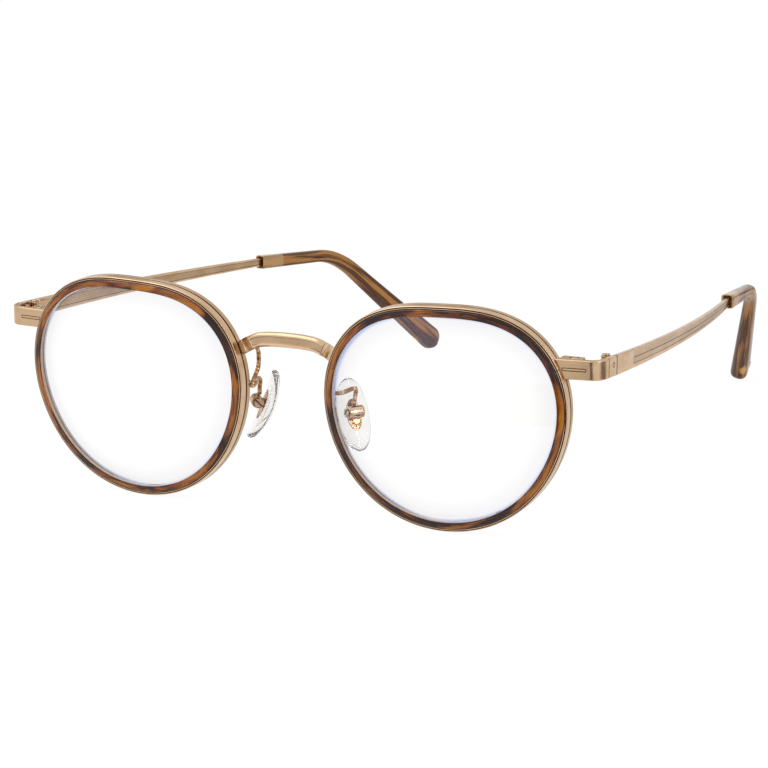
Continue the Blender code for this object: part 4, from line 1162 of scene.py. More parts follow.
class EYEGLASSES_OT_bridge(bpy.types.Operator):
    """Builds the bridge, with its sunk front panel and the facets at its ends"""

    bl_idname = "eyeglasses.bridge"
    bl_label = "Bridge"

    def execute(self, context):
        end_z = BRIDGE_RISE - BRIDGE_END_DROP
        end = nasal_side(end_z)
        back_y = end.y - BRIDGE_THICKNESS / 2 + BRIDGE_BEVEL
        shoulder_z, neck_z = BRIDGE_RISE - BRIDGE_SHOULDER_DROP, BRIDGE_RISE - BRIDGE_NECK_DROP
        half_route = [
            Vector((0, back_y - BRIDGE_FORWARD, BRIDGE_RISE)),
            Vector((BRIDGE_SHOULDER_X, back_y - BRIDGE_FORWARD / 2, shoulder_z)),
            Vector((BRIDGE_NECK_X, back_y, neck_z)),
            Vector((end.x, back_y, end_z)),
        ]
        mirror = Vector((-1, 1, 1))
        route = smooth_route([p * mirror for p in half_route[:0:-1]] + half_route, RING_STEPS + 1)
        gold = gold_finishes()
        # the facets take the buffed plating, with its painted reflections and highlights
        facet_finish = len(gold)
        forward = Vector((0, -1, 0))
        rings, grains, finishes = [], [], []
        for i, point in enumerate(route):
            before, after = route[max(i - 1, 0)], route[min(i + 1, len(route) - 1)]
            up = forward.cross((after - before).normalized())
            beyond = abs(point.x) - PANEL_END_X
            on_facet = 0 < beyond < FACET_LENGTH
            share = min(max(-beyond / PANEL_RAMP, 0.0), 1.0)
            section = bridge_section(share, FACET_STEP if on_facet else 0.0)
            ring = [point + forward * f + up * u for f, u, _ in section]
            if i in (0, len(route) - 1):
                for corner in ring:
                    corner.x = math.copysign(nasal_side(corner.z).x - SEAT_GAP, point.x)
            rings.append(ring)
            grains.append([Vector((point.x, f, u)) for f, u, _ in section])
            beside = facet_finish if on_facet else POLISHED
            finishes.append([beside if beyond > 0 and f >= 0 else finish for f, _, finish in section])
        shape = skin(rings, finishes=finishes, grains=grains)
        materials = [*gold, shared(buffed_plating_painted_reflections)]
        piece = add_mesh("bridge_bar", shape, materials, FRONT_PLACE, LEFT)
        hand_over(piece, "front", "gold_metal", "bridge")
        return {"FINISHED"}


def end_piece_stations():
    """(x, y, heading, share of the temple's slope, depth of the groove) along the end piece's outer face.

    The first one has no place, because there the end piece meets the eyewire's own curve.
    """
    turn = math.pi / 2 - END_ANGLE
    tangent = END_BEND_RADIUS * math.tan(turn / 2)
    start_x = SIDE_X - tangent * math.cos(END_ANGLE)
    start_y = end_front_line(SIDE_X) - tangent * math.sin(END_ANGLE)
    centre_x = start_x - END_BEND_RADIUS * math.sin(END_ANGLE)
    centre_y = start_y + END_BEND_RADIUS * math.cos(END_ANGLE)
    stations = [(None, None, END_ANGLE, 0.0, 0.0)]
    for i in range(END_BEND_STEPS + 1):
        heading = END_ANGLE + turn * i / END_BEND_STEPS
        x = centre_x + END_BEND_RADIUS * math.sin(heading)
        y = centre_y - END_BEND_RADIUS * math.cos(heading)
        stations.append((x, y, heading, i / END_BEND_STEPS, 0.0))
    start = bend_end()
    side_end = END_SIDE_LENGTH - SPLIT_GAP / 2
    for along, groove in ((0.08, 0.0), (0.16, END_GROOVE), (0.24, END_GROOVE), (0.32, 0.0), (side_end, 0.0)):
        stations.append((SIDE_X, start + along, math.pi / 2, 1.0, groove))
    return stations


def groove_cutter(name, length, height, line, depth, place, side):
    """A cutter for a line of this width round a long slot's outline."""
    loop = eased(bar_corners(length, height, height / 2), 8)
    inner = eased(bar_corners(length - 2 * line, height - 2 * line, height / 2 - line), 8)
    rings = [
        [Vector((a, level, b)) for a, b, _ in outline]
        for outline, level in ((loop, -depth), (loop, depth), (inner, depth), (inner, -depth))
    ]
    return add_mesh(name, skin(rings, closed=True), gold_finishes(), place, side)


class EYEGLASSES_OT_end_pieces(bpy.types.Operator):
    """Builds the two bent end pieces, with the engraved slot, the groove and the rivet of each"""

    bl_idname = "eyeglasses.end_pieces"
    bl_label = "End pieces"

    def execute(self, context):
        half = END_HEIGHT / 2
        outline = eased([
            (0.0, -half, 0.25, SATIN),
            (0.0, half, 0.25, SATIN),
            (END_THICKNESS, half, 0.2, SATIN),
            (END_THICKNESS, -half, 0.2, SATIN),
        ], 4)
        start = bend_end()
        slot_x = temple_side(END_Z).x + SLOT_OUTBOARD
        slot_place = Matrix.Translation((slot_x, end_front_line(slot_x), END_Z + SLOT_RISE))
        slot_place = slot_place @ Matrix.Rotation(END_ANGLE, 4, "Z")
        rivet_z = END_Z - RIVET_BACK * math.tan(TEMPLE_SLOPE) + RIVET_RISE
        rivet_centre = (SIDE_X, start + RIVET_BACK, rivet_z)
        inside, above = RIVET_RADIUS - RIVET_LINE, 0.2
        rivet_profile = [
            (RIVET_RADIUS, -RIVET_DEPTH), (RIVET_RADIUS, above), (inside, above), (inside, -RIVET_DEPTH),
        ]
        for label, side in SIDES.items():
            rings, grains, finishes = [], [], []
            length = 0.0
            for x, y, heading, share, groove in end_piece_stations():
                inward = Vector((-math.sin(heading), math.cos(heading), 0))
                tilt = TEMPLE_SLOPE * share
                up = Vector((0, math.sin(tilt), math.cos(tilt)))
                ring = []
                for depth, height, _ in outline:
                    if x is None:
                        edge = temple_side(END_Z + height).x + SEAT_GAP
                        point = Vector((edge, end_front_line(edge) + depth, END_Z + height))
                    else:
                        drop = max(0.0, y - start) * math.tan(TEMPLE_SLOPE)
                        sunk = depth + groove * (1 - depth / END_THICKNESS)
                        point = Vector((x, y, END_Z - drop)) + inward * sunk + up * height
                    ring.append(point)
                if rings:
                    length += (ring[2] - rings[-1][2]).length
                rings.append(ring)
                grains.append([Vector((length, depth, height)) for depth, height, _ in outline])
                # the groove across the side has the recessed finish: painted shade
                finishes.append([RECESS_SHADE if groove else finish for _, _, finish in outline])
            shape = skin(rings, finishes=finishes, grains=grains)
            gold = gold_finishes()
            piece = add_mesh(f"end_corner_{label}", shape, gold, FRONT_PLACE, side)
            # the engraved slot and the rivet's ring have the recessed finish: painted shade
            slot = groove_cutter(
                f"slot_{label}", SLOT_LENGTH, SLOT_HEIGHT, SLOT_LINE, SLOT_DEPTH, slot_place, side
            )
            cut(piece, slot, RECESS_SHADE)
            rivet = turned(rivet_profile, rivet_centre, (1, 0, 0), closed=True)
            cut(piece, add_mesh(f"rivet_{label}", rivet, gold, FRONT_PLACE, side), RECESS_SHADE)
            hand_over(piece, "front", "gold_metal", f"end_piece_{label}")
        return {"FINISHED"}


def slot_screw(name, shank, head, centre, axis, slot, finish, place, side):
    """A turned screw with a straight slot across its head.

    shank is its (radius, start), head its (radius, start, top, rounding) and slot its (width, depth).
    """
    (radius, low), (head_radius, start, top, rounding), (width, depth) = shank, head, slot
    profile = [(radius, low), (radius, start), *round_profile(head_radius, start, top, rounding)]
    # the slot across the head has the groove plating: painted shade
    finishes = [finish, shared(groove_plating_painted_shade)]
    screw = add_mesh(name, turned(profile, centre, axis), finishes, place, side)
    axis = Vector(axis).normalized()
    turn = Vector((0, 0, 1)).rotation_difference(axis).to_matrix().to_4x4()
    spot = Matrix.Translation(Vector(centre) + axis * top) @ turn @ Matrix.Rotation(SCREW_TURN, 4, "Z")
    cutter = block((-2, -width / 2, -depth), (2, width / 2, depth))
    cut(screw, add_mesh(f"{name}_slot", cutter, finishes, place @ spot, side), CUT)
    return screw


class EYEGLASSES_OT_closing_blocks(bpy.types.Operator):
    """Builds the split closing blocks behind the end pieces, and the slotted screws that close them"""

    bl_idname = "eyeglasses.closing_blocks"
    bl_label = "Closing blocks"

    def execute(self, context):
        inner_x = temple_side(END_Z).x + SEAT_GAP
        outer_x = inner_x + CLOSING_WIDTH
        front_gap = END_THICKNESS / math.cos(END_ANGLE) + SEAT_GAP
        back_y = end_front_line(inner_x) + front_gap + CLOSING_DEPTH
        screw_x = (inner_x + outer_x) / 2
        screw_y = (end_front_line(screw_x) + front_gap + back_y) / 2
        centre = (screw_x, screw_y, END_Z)
        upright = (0, 0, 1)
        half = CLOSING_HEIGHT / 2
        bore_radius = CLOSING_SCREW_RADIUS + SHANK_GAP
        sink_radius = CLOSING_HEAD_RADIUS + SEAT_GAP
        head = half - CLOSING_HEAD_HEIGHT
        bore_profile = [
            (bore_radius, -half - 1),
            (bore_radius, head - SEAT_GAP),
            (sink_radius, head - SEAT_GAP),
            (sink_radius, half + 1),
        ]
        gold = gold_finishes()
        for label, side in SIDES.items():
            for word, low, high in (("upper", RIM_SPLIT / 2, half), ("lower", -half, -RIM_SPLIT / 2)):
                rings = []
                for height in (low, (low + high) / 2, high):
                    edge = temple_side(END_Z + height).x + SEAT_GAP
                    plan = [
                        (edge, end_front_line(edge) + front_gap),
                        (outer_x, end_front_line(outer_x) + front_gap),
                        (outer_x, back_y),
                        (edge, back_y),
                    ]
                    rings.append([Vector((x, y, END_Z + height)) for x, y in plan])
                piece = add_mesh(f"closing_half_{word}_{label}", skin(rings), gold, FRONT_PLACE, side)
                break_edges(piece)
                bore = turned(bore_profile, centre, upright)
                cut(piece, add_mesh(f"bore_{word}_{label}", bore, gold, FRONT_PLACE, side))
                hand_over(piece, "front", "gold_metal", f"closing_block_{word}_{label}")
            screw = slot_screw(
                f"closing_bolt_{label}", (CLOSING_SCREW_RADIUS, -half),
                (CLOSING_HEAD_RADIUS, head, half, HEAD_EDGE), centre, upright, SCREW_SLOT,
                shared(polished_rose_gold_plating), FRONT_PLACE, side,
            )
            hand_over(screw, "front", "gold_metal", f"closing_screw_{label}")
        return {"FINISHED"}


# The hinges and the temples


def knuckle(low, high):
    """A ring about the hinge's axis, with its bore and broken edges."""
    bore = HINGE_SCREW_RADIUS + SHANK_GAP
    profile = [(bore, low), *round_profile(KNUCKLE_RADIUS, low, high, 0.1), (bore, high)]
    return turned(profile, (0, 0, 0), (0, 0, 1), closed=True)


class EYEGLASSES_OT_hinges(bpy.types.Operator):
    """Builds the two hinges: front and temple leaves with their knuckles, and the slotted screws"""

    bl_idname = "eyeglasses.hinges"
    bl_label = "Hinges"

    def execute(self, context):
        face = HINGE_INSET - END_THICKNESS - SEAT_GAP
        back = face - LEAF_THICKNESS
        half_middle = KNUCKLE_HEIGHT / 2
        outer_low = half_middle + RUN_GAP
        outer_high = outer_low + KNUCKLE_HEIGHT
        half_leaf = LEAF_HEIGHT / 2
        neck_start = HINGE_SCREW_RADIUS + SEAT_GAP
        front_plate = (back, -LEAF_START - LEAF_FRONT_LENGTH, -half_leaf), (face, -LEAF_START, half_leaf)
        temple_plate = (back, LEAF_START, -half_leaf), (face, LEAF_START + LEAF_TEMPLE_LENGTH, half_leaf)
        outer = [(outer_low, outer_high), (-outer_high, -outer_low)]
        # each neck reaches a little into its leaf, and is a hair lower than its knuckle
        overlap, shy = 0.2, 0.01
        head = outer_high + SEAT_GAP
        top = head + HINGE_HEAD_HEIGHT
        gold = gold_finishes()
        for label, side in SIDES.items():
            for node, body, plate, knuckles, neck_low, neck_high in (
                ("hinge_front", "front", front_plate, outer, -LEAF_START - overlap, 0.0),
                (
                    "hinge_temple", f"temple_{label}", temple_plate, [(-half_middle, half_middle)],
                    0.0, LEAF_START + overlap,
                ),
            ):
                leaf = add_mesh(f"leaf_{node}_{label}", block(*plate), gold, hinge_place(), side)
                for k, (low, high) in enumerate(knuckles):
                    ring = add_mesh(f"knuckle_{k}_{label}", knuckle(low, high), gold, hinge_place(), side)
                    neck = block((neck_start, neck_low, low + shy), (face, neck_high, high - shy))
                    join(ring, add_mesh(f"neck_{k}_{label}", neck, gold, hinge_place(), side))
                    join(leaf, ring)
                hand_over(leaf, body, "gold_metal", f"{node}_{label}")
            screw = slot_screw(
                f"hinge_bolt_{label}", (HINGE_SCREW_RADIUS, -outer_high),
                (HINGE_HEAD_RADIUS, head, top, HINGE_HEAD_EDGE), (0, 0, 0), (0, 0, 1), HINGE_SLOT,
                shared(polished_rose_gold_plating), hinge_place(), side,
            )
            hand_over(screw, "front", "gold_metal", f"hinge_screw_{label}")
        return {"FINISHED"}


def bar_size(distance):
    """(thickness, height) of the temple's bar at a distance along it."""
    share = distance / TEMPLE_LENGTH
    return blend(END_THICKNESS, TEMPLE_END_THICKNESS, share), blend(END_HEIGHT, TEMPLE_END_HEIGHT, share)


def temple_section(distance):
    """(across, up, finish) round the bar, whose two faces each have a sunk panel with grooved borders."""
    metal = bpy.context.scene.eyeglass_metal
    start = in_mm(metal.panel_start)
    thickness, height = bar_size(distance)
    w, h = thickness / 2, height / 2
    sunk = in_mm(metal.panel_depth) * min(max((distance - start) / PANEL_START_RAMP, 0.0), 1.0)
    sunk *= min(max((TEMPLE_LENGTH + PANEL_RUN_OUT - distance) / PANEL_RUN_OUT, 0.0), 1.0)
    # the panels' borders as shares of the half height, and the width of a line beside one
    low, high, inner, line = -0.52 * h, 0.16 * h, 0.62 * h, 0.1
    groove = sunk * 1.6
    crisp = 0.02
    # the grooves beside the panels have the recessed finish: painted shade
    return eased([
        (w, -h, TEMPLE_CHAMFER, SATIN),
        (w, low - line, crisp, SATIN),
        (w - groove, low, crisp, RECESS_SHADE),
        (w - sunk, low + line, crisp, MILLED),
        (w - sunk, high - line, crisp, RECESS_SHADE),
        (w - groove, high, crisp, SATIN),
        (w, high + line, crisp, MILLED),
        (w, h, TEMPLE_CHAMFER, SATIN),
        (-w, h, TEMPLE_CHAMFER, SATIN),
        (-w, inner, crisp, RECESS_SHADE),
        (sunk - w, inner - line, crisp, MILLED),
        (sunk - w, line - inner, crisp, RECESS_SHADE),
        (-w, -inner, crisp, SATIN),
        (-w, -h, TEMPLE_CHAMFER, SATIN),
    ], 2)


def along_temple(sections):
    """(rings, grains) of sections, given as (distance, points), set square to the temple's middle line."""
    rings, grains = [], []
    for distance, section in sections:
        middle, out, up = temple_station(distance)
        rings.append([middle + out * a + up * b for a, b, _ in section])
        grains.append([Vector((distance, a, b)) for a, b, _ in section])
    return rings, grains


class EYEGLASSES_OT_temples(bpy.types.Operator):
    """Builds the two temple bars, with their panels and the core wires that run on inside the tips"""

    bl_idname = "eyeglasses.temples"
    bl_label = "Temples"

    def execute(self, context):
        panel_start = in_mm(context.scene.eyeglass_metal.panel_start)
        low, high = SPLIT_GAP / 2, TEMPLE_LENGTH + TANG_LENGTH
        marks = [low, *(panel_start + step for step in (-0.02, 0.0, 0.08, 0.16))]
        marks += [low + 1 + i * (high - 1) / 90 for i in range(91)]
        sections = [(distance, temple_section(distance)) for distance in sorted(marks)]
        finishes = [
            [SATIN if distance < panel_start else finish for _, _, finish in section]
            for distance, section in sections
        ]
        core = eased(bar_corners(CORE_THICKNESS, CORE_HEIGHT, CORE_CHAMFER))
        # the wire starts a little inside the bar
        low = high - 0.4
        core_sections = [(low + (CORE_END - low) * i / 60, core) for i in range(61)]
        gold, plated = gold_finishes(), [shared(polished_rose_gold_plating)]
        for label, side in SIDES.items():
            rings, grains = along_temple(sections)
            shape = skin(rings, finishes=finishes, grains=grains)
            piece = add_mesh(f"temple_bar_{label}", shape, gold, hinge_place(), side)
            hand_over(piece, f"temple_{label}", "gold_metal", f"temple_{label}")

            rings, grains = along_temple(core_sections)
            wire = add_mesh(f"core_wire_{label}", skin(rings, grains=grains), plated, hinge_place(), side)
            hand_over(wire, f"temple_{label}", "gold_metal")
        return {"FINISHED"}


def tip_size(distance):
    """(thickness, height) of the acetate tip at a distance from its mouth."""
    if distance < TIP_STRAIGHT:
        share = distance / TIP_STRAIGHT
        thickness = blend(TIP_MOUTH_THICKNESS, TIP_BEND_THICKNESS, share)
        return thickness, blend(TIP_MOUTH_HEIGHT, TIP_BEND_HEIGHT, share)
    share = (distance - TIP_STRAIGHT) / (TIP_LENGTH - TIP_STRAIGHT)
    thickness = blend(TIP_BEND_THICKNESS, TIP_END_THICKNESS, share)
    return thickness, blend(TIP_BEND_HEIGHT, TIP_END_HEIGHT, share)


def tip_stations():
    """(distance from the mouth, corners) along an ear tip: up out of its socket, then on to its round end."""
    thickness, height = bar_size(TEMPLE_LENGTH)
    socket, flare = (
        bar_corners(thickness + 2 * gap, height + 2 * gap, TEMPLE_CHAMFER + gap)
        for gap in (TIP_SOCKET_GAP, TIP_FLARE_GAP)
    )
    stations = [(TIP_SOCKET_DEPTH, socket), (TIP_SOCKET_DEPTH - 0.15, socket), (0.08, socket), (0.0, flare)]
    thickness, height = tip_size(0.0)
    for share in (0.0, 0.35, 0.7, 1.0):
        inset = TIP_EDGE * (1 - math.sqrt(1 - (1 - share) ** 2))
        stations.append((TIP_EDGE * share, bar_corners(thickness - 2 * inset, height - 2 * inset, TIP_ROUND)))
    for i in range(1, TIP_STEPS + 1):
        distance = TIP_EDGE + (TIP_LENGTH - TIP_EDGE) * i / TIP_STEPS
        radius = TIP_ROUND + TIP_MORE_ROUND * i / TIP_STEPS
        stations.append((distance, bar_corners(*tip_size(distance), radius)))
    thickness, height = tip_size(TIP_LENGTH)
    for i in range(1, 12):
        share = math.sin(math.pi / 2 * i / 12)
        narrow = math.sqrt(1 - share**2)
        wide = thickness * blend(TIP_END_FLAT, 1.0, narrow) * narrow**0.5
        corners = bar_corners(wide, height * narrow, (TIP_ROUND + TIP_MORE_ROUND) * narrow)
        stations.append((TIP_LENGTH + TIP_END_HEIGHT / 2 * share, corners))
    return stations


class EYEGLASSES_OT_ear_tips(bpy.types.Operator):
    """Builds the two acetate ear tips, each with the mouth that takes the bar, and the discs let into them"""

    bl_idname = "eyeglasses.ear_tips"
    bl_label = "Ear tips"

    def execute(self, context):
        sections = [(TEMPLE_LENGTH + distance, eased(corners, 6)) for distance, corners in tip_stations()]
        end = temple_point(TEMPLE_LENGTH + TIP_LENGTH + TIP_END_HEIGHT / 2)
        disc_at = TIP_LENGTH - DISC_FROM_END
        middle, out, up = temple_station(TEMPLE_LENGTH + disc_at)
        disc_centre = middle + up * DISC_RISE + out * tip_size(disc_at)[0] / 2
        disc_profile = round_profile(DISC_RADIUS, -DISC_THICKNESS, DISC_PROUD, HEAD_EDGE)
        acetate, plated = [shared(laminated_grey_acetate)], [shared(polished_rose_gold_plating)]
        for label, side in SIDES.items():
            rings, grains = along_temple(sections)
            for row in grains:
                wide, high = max(abs(place.y) for place in row), max(abs(place.z) for place in row)
                for place in row:
                    place.y /= wide
                    place.z /= high
            shape = skin(rings, poles=(None, end), grains=grains)
            # the tip's pattern has its places along the temple, so it isn't moved on
            piece = add_mesh(f"ear_tip_{label}", shape, acetate, hinge_place(), side, pattern_step=(0, 0, 0))
            hand_over(piece, f"temple_{label}", "tip_acetate", f"temple_tip_{label}")

            disc = turned(disc_profile, disc_centre, out)
            disc = add_mesh(f"tip_stud_{label}", disc, plated, hinge_place(), side)
            hand_over(disc, f"temple_{label}", "gold_metal", f"tip_disc_{label}")
        return {"FINISHED"}


# The nose pads and their arms


def arm_route():
    """The wire's middle line: from the bridge's back down past the rim, then over into the pad box."""
    bridge_back = nasal_side(BRIDGE_RISE - BRIDGE_END_DROP).y + BRIDGE_BEVEL + SEAT_GAP
    start = Vector((BRIDGE_NECK_X + ARM_INBOARD, bridge_back, BRIDGE_RISE - BRIDGE_NECK_DROP - ARM_BELOW))
    rim = nasal_side(ARM_TOUCH_Z)
    touch = Vector((rim.x - SEAT_GAP, rim.y + ARM_RADIUS + 2 * SEAT_GAP, ARM_TOUCH_Z))
    box_top = pad_place() @ Vector((0, 0, BOX_RADIUS + SEAT_GAP))
    over = box_top + Vector((SEAT_GAP, ARM_OVER_BACK, ARM_OVER_HEIGHT))
    # the offsets shape the wire's loop under the bridge, its dip at the rim and its hook over the box
    return [
        start,
        start + Vector((-0.15, 1.9, -0.5)),
        start + Vector((-0.15, 2.6, -2.0)),
        touch + Vector((-0.7, 1.4, 3.2)),
        touch + Vector((-0.25, 0.25, 1.0)),
        touch + Vector((0.1, 0.35, -0.1)),
        touch.lerp(over, 0.45) + Vector((0, 0, -0.45)),
        over + Vector((0, -0.9, 0.05)),
        over + Vector((0, 0.05, -0.55)),
        box_top.lerp(over, 0.35),
        box_top,
    ]


def swept_round(route, radii):
    """(rings, grains) of a round bar of these radii along a route, without twist."""
    rings, grains = [], []
    first = None
    length = 0.0
    for i, (point, radius) in enumerate(zip(route, radii)):
        along = (route[min(i + 1, len(route) - 1)] - route[max(i - 1, 0)]).normalized()
        first = along.orthogonal() if first is None else first - along * first.dot(along)
        first.normalize()
        second = along.cross(first)
        if i:
            length += (point - route[i - 1]).length
        circle = [(math.cos(t) * radius, math.sin(t) * radius) for t in full_turn(WIRE_SIDES)]
        rings.append([point + first * a + second * b for a, b in circle])
        grains.append([Vector((length, a, b)) for a, b in circle])
    return rings, grains


class EYEGLASSES_OT_pad_arms(bpy.types.Operator):
    """Builds the two bent wires that carry the nose pads, and the solder that joins each to its eyewire"""

    bl_idname = "eyeglasses.pad_arms"
    bl_label = "Pad arms"

    def execute(self, context):
        route = smooth_route(arm_route(), WIRE_STEPS)
        # two small steps round each end of the wire
        radii = [ARM_RADIUS * min(1.0, 0.75 + 0.125 * min(i, WIRE_STEPS - 1 - i)) for i in range(WIRE_STEPS)]
        touch = WIRE_STEPS // 2 - 2
        half = SOLDER_STEPS // 2
        bead = [
            ARM_RADIUS + SOLDER_SWELL * math.sin(math.pi * i / SOLDER_STEPS) ** 1.5
            for i in range(SOLDER_STEPS + 1)
        ]
        # the wire and its solder take the buffed plating, with its painted reflections and highlights
        buffed = [shared(buffed_plating_painted_reflections)]
        for label, side in SIDES.items():
            rings, grains = swept_round(route, radii)
            piece = add_mesh(f"pad_wire_{label}", skin(rings, grains=grains), buffed, FRONT_PLACE, side)
            hand_over(piece, "front", "gold_metal", f"pad_arm_{label}")

            rings, grains = swept_round(route[touch - half : touch + half + 1], bead)
            piece = add_mesh(f"solder_bead_{label}", skin(rings, grains=grains), buffed, FRONT_PLACE, side)
            hand_over(piece, "front", "gold_metal")
        return {"FINISHED"}


def pad_bore(name, half, finishes, side):
    """A cutter for the hole that the pad's screw goes through."""
    radius = PAD_SCREW_RADIUS + SHANK_GAP
    bore = turned([(radius, -half - 1), (radius, half + 1)], (0, 0, 0), (0, 1, 0))
    return add_mesh(name, bore, finishes, pad_place(), side)


class EYEGLASSES_OT_pad_boxes(bpy.types.Operator):
    """Builds the two pad boxes, slotted and bored barrels, and their slotted steel screws"""

    bl_idname = "eyeglasses.pad_boxes"
    bl_label = "Pad boxes"

    def execute(self, context):
        half = BOX_LENGTH / 2
        wide = TAB_THICKNESS / 2 + SEAT_GAP
        high = TAB_RADIUS + RUN_GAP
        # the barrel takes the buffed plating with its painted reflections, and its slot the groove plating's
        # painted shade
        finishes = [shared(buffed_plating_painted_reflections), shared(groove_plating_painted_shade)]
        head = half + SEAT_GAP
        top = head + PAD_HEAD_HEIGHT
        for label, side in SIDES.items():
            barrel = turned(round_profile(BOX_RADIUS, -half, half, 0.2), (0, 0, 0), (0, 1, 0))
            barrel = add_mesh(f"pad_barrel_{label}", barrel, finishes, pad_place(), side)
            slot = block((-BOX_RADIUS - 1, -wide, -high), (BOX_RADIUS - BOX_WALL, wide, high))
            cut(barrel, add_mesh(f"barrel_slot_{label}", slot, finishes, pad_place(), side), CUT)
            cut(barrel, pad_bore(f"barrel_bore_{label}", half, finishes, side))
            hand_over(barrel, "front", "gold_metal", f"pad_box_{label}")

            screw = slot_screw(
                f"pad_bolt_{label}", (PAD_SCREW_RADIUS, -half), (PAD_HEAD_RADIUS, head, top, HEAD_EDGE),
                (0, 0, 0), (0, -1, 0), SCREW_SLOT, shared(turned_steel), pad_place(), side,
            )
            hand_over(screw, "front", "gold_metal", f"pad_screw_{label}")
        return {"FINISHED"}


def pad_point(inset, thick, turn):
    """A point of the pad, in the pad box's frame: inset from its outline, thick from its middle layer."""
    y = max(PAD_WIDTH / 2 - inset, 0.0) * math.cos(turn)
    z = max(PAD_HEIGHT / 2 - inset, 0.0) * math.sin(turn)
    bow = PAD_BOW * (2 * z / PAD_HEIGHT) ** 2
    return Vector((bow + thick - PAD_STANDOFF, PAD_SHIFT_BACK + y, z - PAD_DROP))


def pad_section():
    """(inset, thick) from the middle of the pad's one face, round its edge, to the middle of the other."""
    edge = (PAD_THICKNESS + PAD_EDGE) / 4
    crown = PAD_THICKNESS / 2 - edge
    shares = [k / 8 for k in range(8, 0, -1)]
    section = [(edge + PAD_CROWN_REACH * share, edge + crown * (1 - (1 - share) ** 2)) for share in shares]
    arc = [math.pi / 2 * i / 8 for i in range(9)]
    section += [(edge - edge * math.sin(t), edge * math.cos(t)) for t in arc]
    return section + [(inset, -thick) for inset, thick in reversed(section[:-1])]


class EYEGLASSES_OT_nose_pads(bpy.types.Operator):
    """Builds the two clear nose pads, and the metal plate with its tab inside each"""

    bl_idname = "eyeglasses.nose_pads"
    bl_label = "Nose pads"

    def execute(self, context):
        turns = full_turn(PAD_STEPS)
        rings = [[pad_point(inset, thick, turn) for turn in turns] for inset, thick in pad_section()]
        # an inset larger than the pad gives the middle of a face
        middle = PAD_WIDTH + PAD_HEIGHT
        poles = [pad_point(middle, thick, 0.0) for thick in (PAD_THICKNESS / 2, -PAD_THICKNESS / 2)]
        plate_high = PAD_THICKNESS / 2 - PAD_STANDOFF + SEAT_GAP
        plate_low = plate_high - MOUNT_THICKNESS
        oval = [(MOUNT_WIDTH / 2 * math.cos(t), MOUNT_HEIGHT / 2 * math.sin(t)) for t in turns]
        plate_rings = [
            [Vector((x, PAD_SHIFT_BACK + a * share, b * share - PAD_DROP)) for a, b in oval]
            for x, share in (
                (plate_low, 0.94), (plate_low + 0.08, 1.0), (plate_high - 0.08, 1.0), (plate_high, 0.94),
            )
        ]
        half = TAB_THICKNESS / 2
        # the plate and its tab take the buffed plating, with its painted reflections and highlights
        clear, buffed = [shared(moulded_clear_pvc)], [shared(buffed_plating_painted_reflections)]
        for label, side in SIDES.items():
            body = f"nose_pad_{label}"
            piece = add_mesh(f"clear_pad_{label}", skin(rings, poles=poles), clear, pad_place(), side)
            hand_over(piece, body, "clear_pad", f"nose_pad_{label}")

            plate = add_mesh(f"pad_plate_{label}", skin(plate_rings), buffed, pad_place(), side)
            stem = block((plate_high - 0.2, -half, -TAB_RADIUS), (0.0, half, TAB_RADIUS))
            tab = add_mesh(f"tab_stem_{label}", stem, buffed, pad_place(), side)
            eye = turned([(TAB_RADIUS, -half), (TAB_RADIUS, half)], (0, 0, 0), (0, 1, 0))
            join(tab, add_mesh(f"tab_eye_{label}", eye, buffed, pad_place(), side))
            join(plate, tab)
            cut(plate, pad_bore(f"tab_bore_{label}", half, buffed, side))
            hand_over(plate, body, "gold_metal", f"pad_mount_{label}")
        return {"FINISHED"}


# The stage


def seen_rays(tree):
    """1 for the rays that see the surroundings: the camera's, and those that metal or glass passes on."""
    light = add_node(tree, "ShaderNodeLightPath").outputs
    inputs = {0: light["Is Camera Ray"], 1: light["Is Glossy Ray"]}
    seen = add_node(tree, "ShaderNodeMath", inputs, operation="MAXIMUM")
    return add_node(tree, "ShaderNodeMath", {0: seen, 1: light["Is Transmission Ray"]}, operation="MAXIMUM")


def pale_floor():
    """Matt paper, lit evenly: as pale as its colour wherever it is seen, darker only in the shadow."""
    stage = bpy.context.scene.eyeglass_stage
    made, tree = blank_material("pale_floor")
    place = add_node(tree, "ShaderNodeTexCoord").outputs["Object"]
    # 0.9 of the paper's fibres to the millimetre
    fibres = add_node(tree, "ShaderNodeTexNoise", {"Vector": place, "Scale": 0.9 / MM, "Detail": 2.0})
    relief = add_node(tree, "ShaderNodeBump", {"Height": fibres, "Distance": 0.02 * MM, "Strength": 0.5})
    lamplit = tuple(value * 0.8 for value in stage.floor)
    paper = add_node(tree, "ShaderNodeBsdfDiffuse", {"Color": opaque(lamplit)})
    share = tuple(value * stage.shadow for value in stage.floor)
    shaded = add_node(tree, "ShaderNodeBsdfDiffuse", {"Color": opaque(share), "Normal": relief})
    # with the lamps' part, this comes to just over white
    inputs = {"Color": opaque(stage.floor), "Strength": 1.05 - stage.shadow}
    glow = add_node(tree, "ShaderNodeEmission", inputs)
    bright = add_node(tree, "ShaderNodeAddShader", {0: glow, 1: shaded})
    surface = add_node(tree, "ShaderNodeMixShader", {0: seen_rays(tree), 1: paper, 2: bright})
    add_node(tree, "ShaderNodeOutputMaterial", {"Surface": surface})
    return made


def studio_card(name, colour):
    """A studio card whose brightness is painted as a glow rather than lit by the lamps, which metal reflects
    as a darker band.
    """
    made, tree = blank_material(name)
    glow = add_node(tree, "ShaderNodeEmission", {"Color": opaque(linear(colour)), "Strength": 1.0})
    add_node(tree, "ShaderNodeOutputMaterial", {"Surface": glow})
    return made


